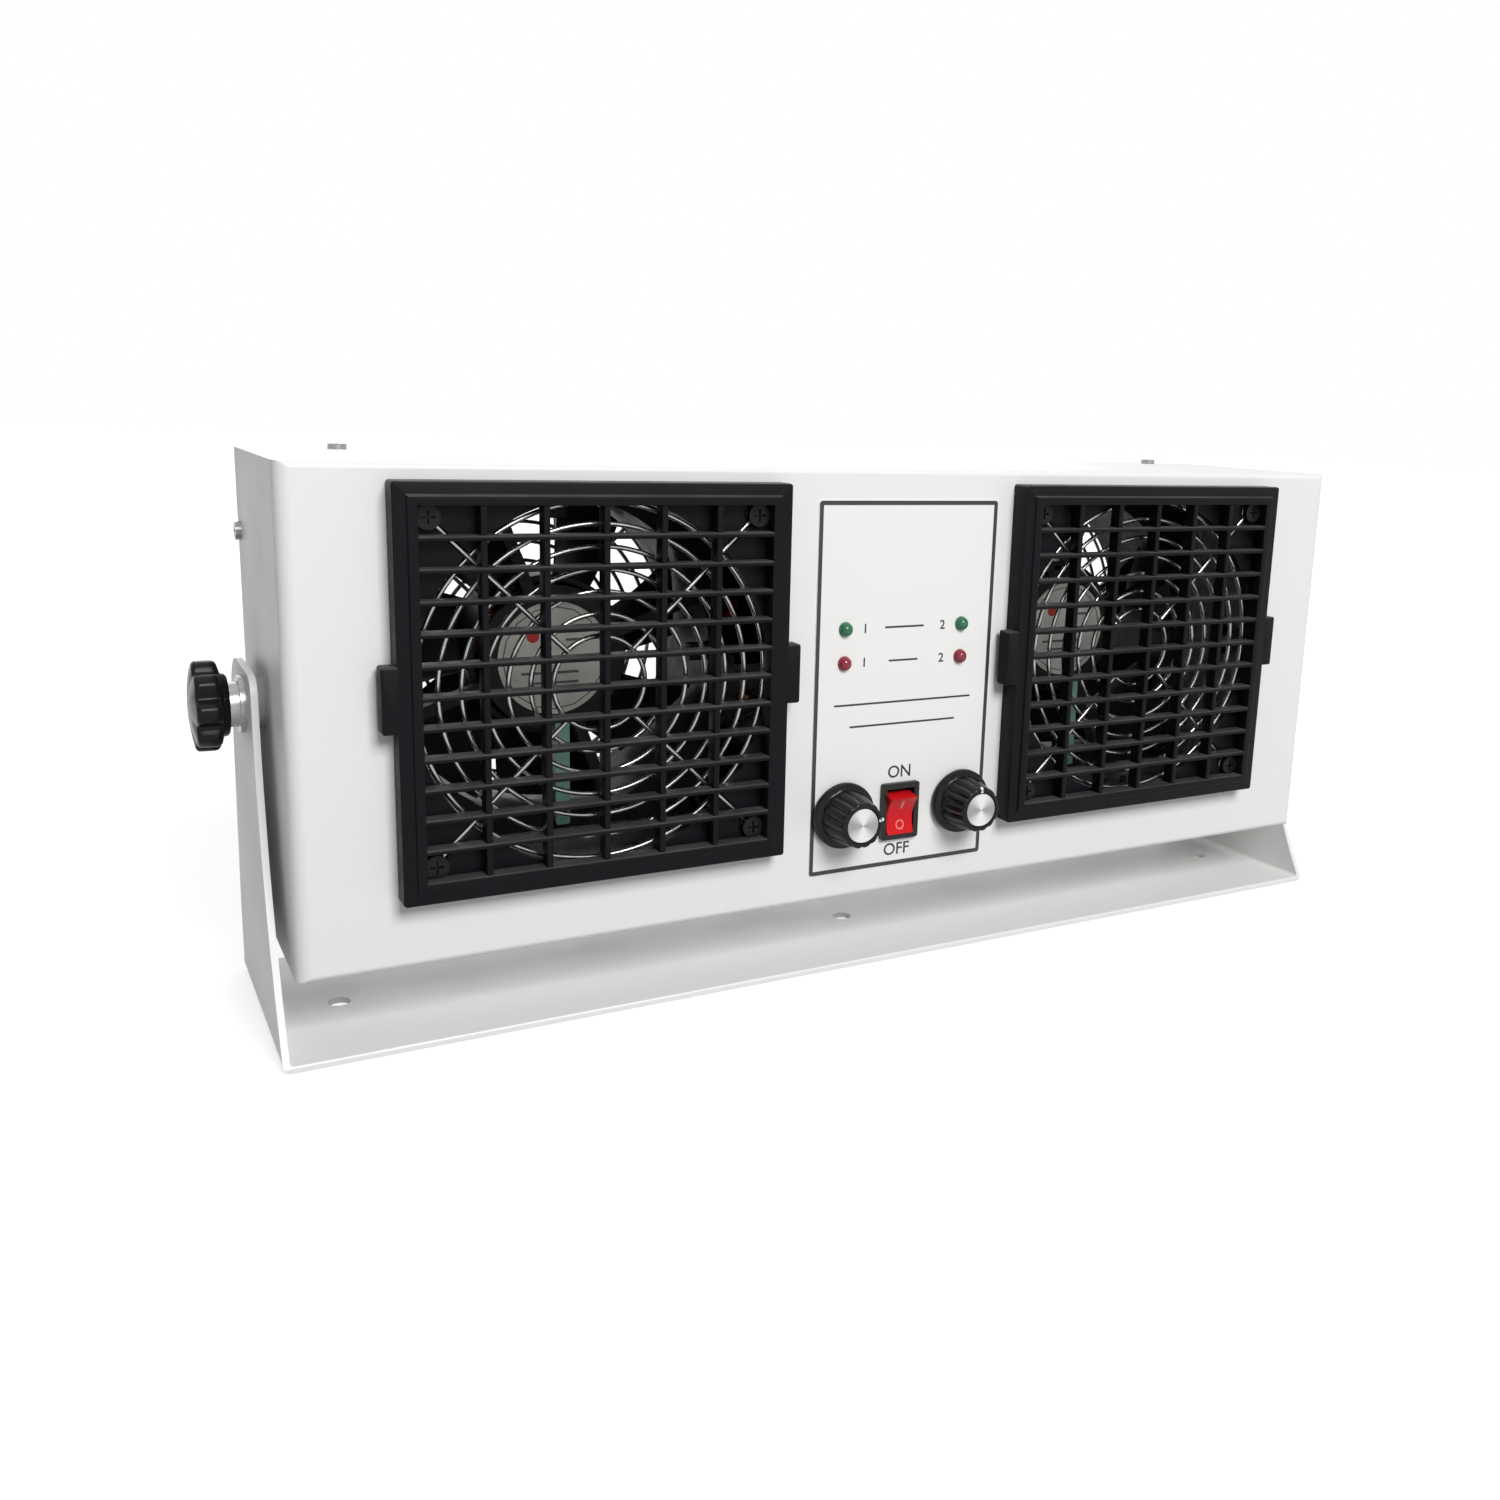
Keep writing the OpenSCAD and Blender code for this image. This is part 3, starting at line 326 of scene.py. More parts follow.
@dataclass(frozen=True)
class SpunPaintedWedges(Finish):
    """Metal turned on a lathe: painted highlights, two light and two dark wedges in its colour, fan out from the
    centre, over fine rings.
    """

    centre: tuple[float, float] = (0.0, 0.0)
    # The painted highlight's wedges: how dark the dark ones are, their spread and their soft edges
    shade: float = 0.45
    wedge: float = 0.25
    wedge_dark: float = 0.03
    wedge_light: float = 0.22
    streak: float = 0.85

    def tint(self, recipe: Recipe) -> None:
        """Paint highlights into the colour: two light and two dark wedges fanned out from the centre."""
        x, z = self.centre
        flat = recipe.add("Mapping", Vector=recipe.place, Location=(-x, z, 0), Rotation=(math.pi / 2, 0, 0))
        turn = recipe.add("TexGradient", Vector=flat.outputs[0])
        turn.gradient_type = "RADIAL"
        fold = combined(recipe.tree, "PINGPONG", turn.outputs[1], self.wedge)
        share = recipe.add("MapRange", Value=fold, From_Min=self.wedge_dark, From_Max=self.wedge_light)
        share.interpolation_type = "SMOOTHSTEP"
        dark = [c * self.shade for c in self.colour]
        recipe.set(Base_Color=recipe.blend(dark, self.colour, share.outputs[0]))

    def texture(self, recipe: Recipe) -> None:
        """Turn the highlights round the piece's own middle."""
        tangent = recipe.add("Tangent")
        tangent.direction_type, tangent.axis = "RADIAL", "Y"
        recipe.set(Tangent=tangent.outputs[0], Anisotropic=self.streak)
        super().texture(recipe)


@dataclass(frozen=True)
class Resin(Finish):
    """A lamp's cast resin, which lets some light in."""

    milky: float = 0.35
    reach: float = 2 * MM
    clear: float = 0.12
    index: float = 1.5

    def texture(self, recipe: Recipe) -> None:
        """Let light into the resin."""
        recipe.set(Subsurface_Weight=self.milky, Subsurface_Radius=(self.reach,) * 3, Subsurface_Scale=1.0,
                   Transmission_Weight=self.clear, IOR=self.index)
        super().texture(recipe)


@dataclass(frozen=True)
class Layered(Finish):
    """Stacked sheets or turns of wire, as fine bands along one axis."""

    pitch: float = 0.0006
    axis: str = "Y"
    dark: float = 0.55
    waver: float = 0.6

    def bands(self, recipe: Recipe) -> bpy.types.NodeSocket:
        """Give a value that rises and falls once in each layer, from 0 to 1."""
        scale = 1 / (self.pitch * FULL_TURN)
        wave = recipe.add("TexWave", Vector=recipe.place, Scale=scale, Distortion=self.waver)
        wave.bands_direction = self.axis
        return wave.outputs[1]

    def tint(self, recipe: Recipe) -> None:
        """Colour the bands, with a dark line between one layer and the next."""
        dark = [c * self.dark for c in self.colour]
        recipe.set(Base_Color=recipe.blend(dark, self.colour, self.bands(recipe)))

    def texture(self, recipe: Recipe) -> None:
        """Round each layer's edge."""
        recipe.relief(self.bands(recipe), self.grain_depth)


@dataclass(frozen=True)
class Board(Finish):
    """A circuit board: solder mask over copper in angular patches."""

    track: Point = (0.01, 0.07, 0.03)
    pitch: float = 0.0035

    def tint(self, recipe: Recipe) -> None:
        """Show the copper through the solder mask."""
        cells = recipe.add("TexVoronoi", Vector=recipe.place, Scale=1 / self.pitch, Randomness=0.8)
        cells.distance = "CHEBYCHEV"
        share = recipe.between(0, 1, cells.outputs[0])
        recipe.set(Base_Color=recipe.blend(self.track, self.colour, share))


FINISHES: dict[Slot, Finish] = {
    Slot.WHITE_PAINT: PowderCoat((0.86, 0.86, 0.85), 0.42, mottle=0.012, mottle_size=0.12,
                                 grain_size=0.0011, grain_depth=0.000012),
    Slot.PANEL_FILM: Finish((0.89, 0.885, 0.87), 0.34, mottle=0.008, mottle_size=0.05,
                            grain_size=0.0005, grain_depth=0.000003),
    # The louvre's faces that look up get painted light from above
    Slot.LOUVRE: PaintedTopLight((0.005, 0.005, 0.007), 0.42, mottle_size=0.02, gloss_spread=0.07,
                       grain_size=0.0006, grain_depth=0.000012, level=0.1),
    Slot.FAN: Finish((0.011, 0.011, 0.012), 0.5, mottle=0.2, mottle_size=0.015, gloss_spread=0.08,
                     grain_size=0.0009, grain_depth=0.000014, level=0.2),
    Slot.KNOB: Finish((0.005, 0.005, 0.006), 0.2, mottle=0.1, grain_size=0.0006,
                      grain_depth=0.000004, level=0.22),
    Slot.TILT_KNOB: Finish((0.006, 0.006, 0.007), 0.26, mottle=0.15, gloss_spread=0.07,
                           grain_depth=0.000009, level=0.14),
    Slot.CHROME: Finish((0.38, 0.38, 0.37), 0.27, metallic=1.0, mottle=0.06, mottle_size=0.008,
                        gloss_spread=0.06, grain_size=0.0015, grain_depth=0.000004),
    Slot.ZINC: Brushed((0.36, 0.36, 0.35), 0.3, metallic=1.0, mottle=0.08, mottle_size=0.004,
                       grain_size=0.0004),
    Slot.BLACK_STEEL: Brushed((0.009, 0.009, 0.01), 0.34, mottle=0.2, mottle_size=0.004,
                              grain_size=0.0004, level=0.15),
    # The cap's light and dark wedges are painted highlights in its colour
    Slot.SPUN: SpunPaintedWedges((0.72, 0.72, 0.71), 0.26, metallic=1.0, gloss_spread=0.03,
                    grain_size=0.0003, grain_depth=0.000002),
    Slot.RED: Finish((0.66, 0.008, 0.014), 0.3, mottle=0.05, gloss_spread=0.04, grain_size=0.001,
                     grain_depth=0.000004, level=0.2),
    Slot.SWITCH: Finish((0.008, 0.008, 0.008), 0.28, mottle=0.1, grain_depth=0.000005, level=0.3),
    Slot.GREEN_LAMP: Resin((0.012, 0.17, 0.075), 0.16, gloss_spread=0.03, grain_depth=0.000002),
    Slot.RED_LAMP: Resin((0.30, 0.010, 0.025), 0.16, gloss_spread=0.03, grain_depth=0.000002),
    Slot.LABEL: Finish((0.62, 0.62, 0.57), 0.42, mottle=0.05, mottle_size=0.006),
    Slot.INSULATOR: Finish((0.20, 0.38, 0.31), 0.32, mottle=0.06, mottle_size=0.008),
    Slot.BRASS: Brushed((0.60, 0.43, 0.16), 0.28, metallic=1.0, mottle=0.08, mottle_size=0.004),
    Slot.BOARD: Board((0.02, 0.13, 0.05), 0.35),
    Slot.POTTING: Finish((0.012, 0.012, 0.013), 0.22, mottle=0.2, mottle_size=0.02, grain_size=0.004,
                         grain_depth=0.00004),
    Slot.LAMINATIONS: Layered((0.16, 0.16, 0.165), 0.4, metallic=0.8, grain_depth=0.00006),
    Slot.COPPER: Layered((0.36, 0.11, 0.03), 0.32, metallic=0.7, axis="Z", grain_depth=0.00012),
    Slot.WIRE_BROWN: Finish((0.11, 0.045, 0.02), 0.42, mottle=0.06),
    Slot.WIRE_RED: Finish((0.38, 0.015, 0.012), 0.38, mottle=0.06),
    Slot.WIRE_GREY: Finish((0.07, 0.07, 0.075), 0.45, mottle=0.06),
    Slot.FIBRE: Brushed((0.40, 0.41, 0.42), 0.6, mottle=0.12, mottle_size=0.002),
}
INKS: dict[Ink, Finish] = {
    Ink.PANEL: Finish((0.025, 0.025, 0.028), 0.45, mottle=0.1, mottle_size=0.002),
    Ink.LABEL: Finish((0.10, 0.10, 0.10), 0.5, mottle=0.15, mottle_size=0.002),
    Ink.RED: Finish((0.50, 0.015, 0.012), 0.4, mottle=0.1, mottle_size=0.002),
    Ink.ROCKER: Finish((0.70, 0.22, 0.20), 0.4, mottle=0.1, mottle_size=0.002),
    Ink.WHITE: Finish((0.80, 0.80, 0.78), 0.4, mottle=0.04, mottle_size=0.002),
}


class Palette:
    """The finished materials: one for each slot and one for each ink."""

    def __init__(self) -> None:
        """Build a material for every slot and for every ink."""
        self.slots = {slot: finish.material(slot.value) for slot, finish in FINISHES.items()}
        self.inks = {ink: finish.material(ink.value) for ink, finish in INKS.items()}

    def dress_nodes(self) -> None:
        """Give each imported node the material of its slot."""
        for part in frame["record"]["subparts"]:
            node = frame["nodes"][part["node"]]
            node.data.materials.clear()
            node.data.materials.append(self.slots[Slot(part["material_slot"])])


# ---- surfaces ------------------------------------------------------------------------------------------


@dataclass
class Surface:
    """Points and faces, four corners to a face, with flat caps of any number of corners."""

    points: np.ndarray
    quads: np.ndarray
    caps: list[np.ndarray] = field(default_factory=list)

    def moved(self, offset: Sequence[float]) -> "Surface":
        """Give the surface shifted by an offset, in metres."""
        return Surface(self.points + np.asarray(offset, float), self.quads, self.caps)

    def outward(self) -> "Surface":
        """Turn the faces so that a closed surface encloses a positive volume.

        Returns:
            The surface with its faces pointing outwards.
        """
        p = self.points - self.points.mean(axis=0)
        q = self.quads
        volume = np.einsum("ij,ij->i", p[q[:, 0]], np.cross(p[q[:, 1]], p[q[:, 2]])).sum()
        volume += np.einsum("ij,ij->i", p[q[:, 0]], np.cross(p[q[:, 2]], p[q[:, 3]])).sum()
        for cap in self.caps:
            fan = np.cross(p[cap[1:-1]], p[cap[2:]])
            volume += (fan @ p[cap[0]]).sum()
        if volume < 0:
            return Surface(self.points, q[:, ::-1].copy(), [cap[::-1].copy() for cap in self.caps])
        return self


def joined(surfaces: Iterable[Surface]) -> Surface:
    """Put several surfaces into one.

    Args:
        surfaces: The surfaces, each with its own points.

    Returns:
        One surface that holds them all.
    """
    points, quads, caps, start = [], [], [], 0
    for surface in surfaces:
        points.append(surface.points)
        quads.append(surface.quads + start)
        caps += [cap + start for cap in surface.caps]
        start += len(surface.points)
    return Surface(np.concatenate(points), np.concatenate(quads), caps)


def tube(rings: np.ndarray, closed: bool = False) -> Surface:
    """Skin a row of rings: ring i, point j is joined to ring i + 1, point j.

    Args:
        rings: Points as an array of rings, points round the ring, and three coordinates.
        closed: True if the last ring meets the first; otherwise both ends get flat caps.

    Returns:
        A closed surface whose faces point outwards.
    """
    rows, cols = rings.shape[:2]
    i, j = np.meshgrid(np.arange(rows if closed else rows - 1), np.arange(cols), indexing="ij")
    a = i * cols + j
    b = (i + 1) % rows * cols + j
    c = (i + 1) % rows * cols + (j + 1) % cols
    d = i * cols + (j + 1) % cols
    quads = np.stack([a, b, c, d], axis=-1).reshape(-1, 4)
    ends = [] if closed else [np.arange(cols), (rows - 1) * cols + np.arange(cols)[::-1]]
    return Surface(rings.reshape(-1, 3), quads, ends).outward()


def arc(centre: Sequence[float], radius: float, start: float, end: float, steps: int) -> np.ndarray:
    """Points on a circular arc: centre + radius (cos a, sin a), with a from start to end.

    Args:
        centre: The arc's centre.
        radius: The arc's radius.
        start: First angle, in radians.
        end: Last angle, in radians.
        steps: Number of steps between them.

    Returns:
        An array of steps + 1 points in the plane.
    """
    a = np.linspace(start, end, steps + 1)
    return np.asarray(centre) + radius * np.stack([np.cos(a), np.sin(a)], axis=-1)


def rounded_rectangle(width: float, height: float, radius: float, steps: int = 5) -> np.ndarray:
    """Outline of a rectangle with round corners: four quarter circles, joined by straight sides.

    Args:
        width: Size across.
        height: Size upright.
        radius: Radius of the corners.
        steps: Steps round each corner.

    Returns:
        Points in the plane, anticlockwise.
    """
    x, y = width / 2 - radius, height / 2 - radius
    quarter = math.pi / 2
    corners = [(x, y), (-x, y), (-x, -y), (x, -y)]
    turns = [arc(c, radius, k * quarter, (k + 1) * quarter, steps) for k, c in enumerate(corners)]
    return np.concatenate(turns)


def softened(corners: Sequence[Sequence[float]], radius: float, steps: int = 3) -> np.ndarray:
    """Close a polygon and round each corner with a quadratic curve that starts radius away from it.

    Args:
        corners: The polygon's corners in the plane.
        radius: How far from a corner its rounding starts, at most 0.45 of the shorter side.
        steps: Steps round each corner.

    Returns:
        Points of the closed outline.
    """
    here = np.asarray(corners, float)
    before, after = np.roll(here, 1, axis=0), np.roll(here, -1, axis=0)
    t = np.linspace(0, 1, steps + 1)[None, :, None]

    def toward(other: np.ndarray) -> np.ndarray:
        """Point on the way to a neighbouring corner, where the rounding starts."""
        way = other - here
        length = np.linalg.norm(way, axis=1, keepdims=True)
        return (here + way * np.minimum(radius / length, 0.45))[:, None, :]

    curve = (1 - t) ** 2 * toward(before) + 2 * t * (1 - t) * here[:, None, :] + t ** 2 * toward(after)
    return curve.reshape(-1, 2)


def in_front(outline: np.ndarray, y: float) -> np.ndarray:
    """Stand a flat outline up in X and Z at a depth y."""
    return np.stack([outline[:, 0], np.full(len(outline), y), outline[:, 1]], axis=-1)


def drawn_in(width: float, height: float, corner: float, inset: float, y: float, steps: int) -> np.ndarray:
    """One ring: a rectangle with round corners, drawn in all round, at a depth y.

    Args:
        width: Size across before it is drawn in.
        height: Size upright before it is drawn in.
        corner: Radius of its corners before it is drawn in.
        inset: How far it is drawn in.
        y: The depth.
        steps: Steps round each corner.

    Returns:
        The ring's points in space.
    """
    radius = max(corner - inset, 0.05 * MM)
    return in_front(rounded_rectangle(width - 2 * inset, height - 2 * inset, radius, steps), y)


def slab(width: float, height: float, corner: float, y0: float, y1: float, edge: float) -> Surface:
    """A plate in X and Z whose front edge is rounded: each ring is the outline drawn in by
    edge (1 - sin a) at a depth edge (1 - cos a) behind the front.

    Args:
        width: Size across.
        height: Size upright.
        corner: Radius of the corners.
        y0: Depth of the front.
        y1: Depth of the back.
        edge: Radius of the front edge.

    Returns:
        The closed plate, centred on X and Z.
    """
    turns = np.linspace(0, math.pi / 2, 4)
    insets = [*(edge * (1 - np.sin(turns))), 0.0]
    depths = [*(y0 + edge * (1 - np.cos(turns))), y1]
    return tube(np.array([drawn_in(width, height, corner, i, y, 5) for i, y in zip(insets, depths)]))


def framing(profile: np.ndarray, width: float, height: float, corner: float) -> Surface:
    """Carry a closed profile round a rectangle with round corners. A profile point (inset, y) lies on
    the outline drawn in by inset, at the depth y.

    Args:
        profile: Points (inset, y) of the closed profile.
        width: Outer size across.
        height: Outer size upright.
        corner: Outer corner radius.

    Returns:
        The closed frame, centred on X and Z.
    """
    rings = [drawn_in(width, height, corner, i, y, 4) for i, y in profile]
    return tube(np.array(rings), closed=True)


def turned(profile: np.ndarray, steps: int = 64, wave: np.ndarray | None = None) -> Surface:
    """Turn a profile about the Y axis. A point (r, y) at the angle a lies at
    (r w cos a, y, r w sin a), where w is the wave's value there, or 1.

    Args:
        profile: Points (radius, y), from one end to the other.
        steps: Number of steps round the axis.
        wave: Optional factors on the radius, one row for each profile point and one column for each step.

    Returns:
        The closed solid, with flat caps at both ends.
    """
    a = np.arange(steps) * FULL_TURN / steps
    r = profile[:, :1] * (np.ones((1, steps)) if wave is None else wave)
    y = np.broadcast_to(profile[:, 1:], r.shape)
    return tube(np.stack([r * np.cos(a), y, r * np.sin(a)], axis=-1))


def bar(section: np.ndarray, start: Sequence[float], end: Sequence[float]) -> Surface:
    """Carry a section along a straight line that runs along X or Z; the section lies in the other
    direction and in Y.

    Args:
        section: Points (across, y) of the closed section.
        start: The line's start.
        end: The line's end.

    Returns:
        The closed bar.
    """
    level = abs(end[0] - start[0]) > abs(end[2] - start[2])
    zero = np.zeros(len(section))
    across = [zero, section[:, 1], section[:, 0]] if level else [section[:, 0], section[:, 1], zero]
    ring = np.stack(across, axis=-1)
    return tube(np.array([ring + np.asarray(start), ring + np.asarray(end)]))


def leaf(outline: np.ndarray) -> Surface:
    """A thin closed print: its front outline, in space, and the same one sunk behind it."""
    return tube(np.array([outline, outline + np.array([0, 0.3 * MM, 0])]))


# ---- making pieces -------------------------------------------------------------------------------------


def placed(name: str, data: bpy.types.ID) -> bpy.types.Object:
    """Make an object of a mesh, curve, light or camera, and link it to the scene."""
    thing = bpy.data.objects.new(name, data)
    bpy.context.scene.collection.objects.link(thing)
    return thing


def box(node: str) -> tuple[np.ndarray, np.ndarray]:
    """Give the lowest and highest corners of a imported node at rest."""
    low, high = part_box(node)
    return np.array(low), np.array(high)


def middle(node: str) -> np.ndarray:
    """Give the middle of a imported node's box."""
    low, high = box(node)
    return (low + high) / 2


@dataclass(frozen=True)
class Dress:
    """What a piece is made of and what it belongs to."""

    body: str
    slot: Slot
    replaces: tuple[str, ...] = ()


class Workshop:
    """Makes objects of surfaces and lets each ride on its body."""

    def __init__(self, palette: Palette) -> None:
        """Keep the palette."""
        self.palette = palette

    def make(self, name: str, surface: Surface, dress: Dress, material: bpy.types.Material | None = None,
             crease: float = 40) -> bpy.types.Object:
        """Make a piece and let it ride on its body.

        Args:
            name: The piece's name.
            surface: Its surface, in place.
            dress: Its body, its slot and the nodes it stands for.
            material: Its material, if it isn't the slot's own.
            crease: Angle, in degrees, above which an edge stays sharp.

        Returns:
            The piece.
        """
        faces = surface.quads.tolist() + [cap.tolist() for cap in surface.caps]
        mesh = bpy.data.meshes.new(name)
        mesh.from_pydata(surface.points.tolist(), [], faces)
        mesh.polygons.foreach_set("use_smooth", np.ones(len(faces), bool))
        mesh.update()
        piece = placed(name, mesh)
        mesh.set_sharp_from_angle(angle=math.radians(crease))
        return self.finish(piece, dress, material)

    def finish(self, piece: bpy.types.Object, dress: Dress,
               material: bpy.types.Material | None = None) -> bpy.types.Object:
        """Give a piece its material, the slot's own unless another is given, and its body.

        Args:
            piece: The piece, in place.
            dress: Its body, its slot and the nodes it stands for.
            material: Its material, if it isn't the slot's own.

        Returns:
            The piece.
        """
        piece.data.materials.clear()
        piece.data.materials.append(material or self.palette.slots[dress.slot])
        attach(piece, dress.body)
        if dress.replaces:
            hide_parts(*dress.replaces)
        LOG.info("%s rides on %s", piece.name, dress.body)
        return piece

    def letters(self, name: str, text: str, height: float, place: Point, dress: Dress) -> bpy.types.Object:
        """Print a word flat on the panel, facing forwards.

        Args:
            name: The piece's name.
            text: The word.
            height: Height of a capital.
            place: Middle of the word, on the panel's face.
            dress: Its body and slot.

        Returns:
            The printed word as a thin mesh.
        """
        capital_share, swelling, thick = 0.7, 0.08 * MM, 0.02 * MM
        curve = bpy.data.curves.new(name, "FONT")
        curve.body = text
        curve.size = height / capital_share
        curve.extrude = thick
        curve.offset = swelling
        curve.align_x = "CENTER"
        writer = placed(name + "_curve", curve)
        bpy.context.view_layer.update()
        mesh = bpy.data.meshes.new_from_object(writer)
        bpy.data.objects.remove(writer)
        mesh.transform(Matrix.Translation(Vector(place) - Vector((0, 0, height / 2)))
                       @ Matrix.Rotation(math.pi / 2, 4, "X"))
        return self.finish(placed(name, mesh), dress, self.palette.inks[Ink.PANEL])


# ---- louvres -------------------------------------------------------------------------------------------


@dataclass
class Louvre:
    """A clip-on filter cover: a skirt with a flat flange, a raised lip, slats, bars and finger tabs."""

    side: Side
    opening: float = 112 * MM
    lip: float = 3.0 * MM
    lip_step: float = 1.0 * MM
    border_back: float = 3.2 * MM
    border_edge: float = 0.45 * MM
    skirt: float = 2.0 * MM
    corner: float = 1.0 * MM
    slats: int = 11
    slat_t: float = 1.7 * MM
    slat_edge: float = 0.76 * MM
    bars: int = 5
    bar_t: float = 2.0 * MM
    bar_edge: float = 0.5 * MM
    bar_set_back: float = 0.5 * MM
    grille_depth: float = 5.8 * MM
    grille_root: float = 0.3 * MM
    tab_h: float = 20 * MM
    tab_front: float = 1.0 * MM
    tab_rear: float = 2.4 * MM
    tab_corner: float = 0.8 * MM
    tab_edge: float = 0.6 * MM
    tab_root: float = 1 * MM

    def __post_init__(self) -> None:
        """Read the cover's place from the frame."""
        self.node = f"filter_cover_{self.side.value}"
        low, high = box(self.node)
        self.front, self.back = low[1], high[1]
        self.size = high[2] - low[2]
        self.reach = (high[0] - low[0] - self.size) / 2
        self.centre = middle(self.node) * LEVEL

    def border(self) -> Surface:
        """The skirt, flange and lip: one profile carried round the square."""
        flange = (self.size - self.opening) / 2
        step = self.front + self.lip_step
        floor = self.back - self.border_back
        corners = [(0, self.back), (0, step), (flange - self.lip, step), (flange - self.lip, self.front),
                   (flange, self.front), (flange, floor), (self.skirt, floor), (self.skirt, self.back)]
        return framing(softened(corners, self.border_edge), self.size, self.size, self.corner)

    def rib(self, width: float, front: float, edge: float, steps: int) -> np.ndarray:
        """Section of a slat or a bar, from its front to the grille's back.

        Args:
            width: Its thickness.
            front: Depth of its front.
            edge: How far from a corner its rounding starts.
            steps: Steps round each corner.

        Returns:
            Points (across, y) of the closed section.
        """
        half, back = width / 2, self.front + self.grille_depth
        return softened([(-half, front), (half, front), (half, back), (-half, back)], edge, steps)

    def spread(self, count: int) -> np.ndarray:
        """Places of so many ribs, evenly across the opening."""
        return np.linspace(-self.opening / 2, self.opening / 2, count + 2)[1:-1]

    def grille(self) -> list[Surface]:
        """The slats, and the upright bars set a little behind the slats' front edges."""
        half = self.opening / 2 + self.grille_root
        slat = self.rib(self.slat_t, self.front, self.slat_edge, 5)
        upright = self.rib(self.bar_t, self.front + self.bar_set_back, self.bar_edge, 3)
        return ([bar(slat, (-half, 0, z), (half, 0, z)) for z in self.spread(self.slats)]
                + [bar(upright, (x, 0, -half), (x, 0, half)) for x in self.spread(self.bars)])

    def tabs(self) -> list[Surface]:
        """The finger tabs, each a rounded block at a side of the skirt, held clear of the case's face."""
        width = self.reach + self.tab_root
        block = slab(width, self.tab_h, self.tab_corner, self.front + self.tab_front,
                     self.back - self.tab_rear, self.tab_edge)
        x = self.size / 2 + self.reach - width / 2
        return [block.moved((way * x, 0, 0)) for way in (-1, 1)]

    def build(self, shop: Workshop) -> None:
        """Make the louvre."""
        whole = joined([self.border(), *self.grille(), *self.tabs()]).moved(self.centre)
        dress = Dress(f"{self.side.value}_filter_cover", Slot.LOUVRE, (self.node,))
        shop.make(f"louvre_{self.side.value}", whole, dress, crease=50)


# ---- fans ----------------------------------------------------------------------------------------------


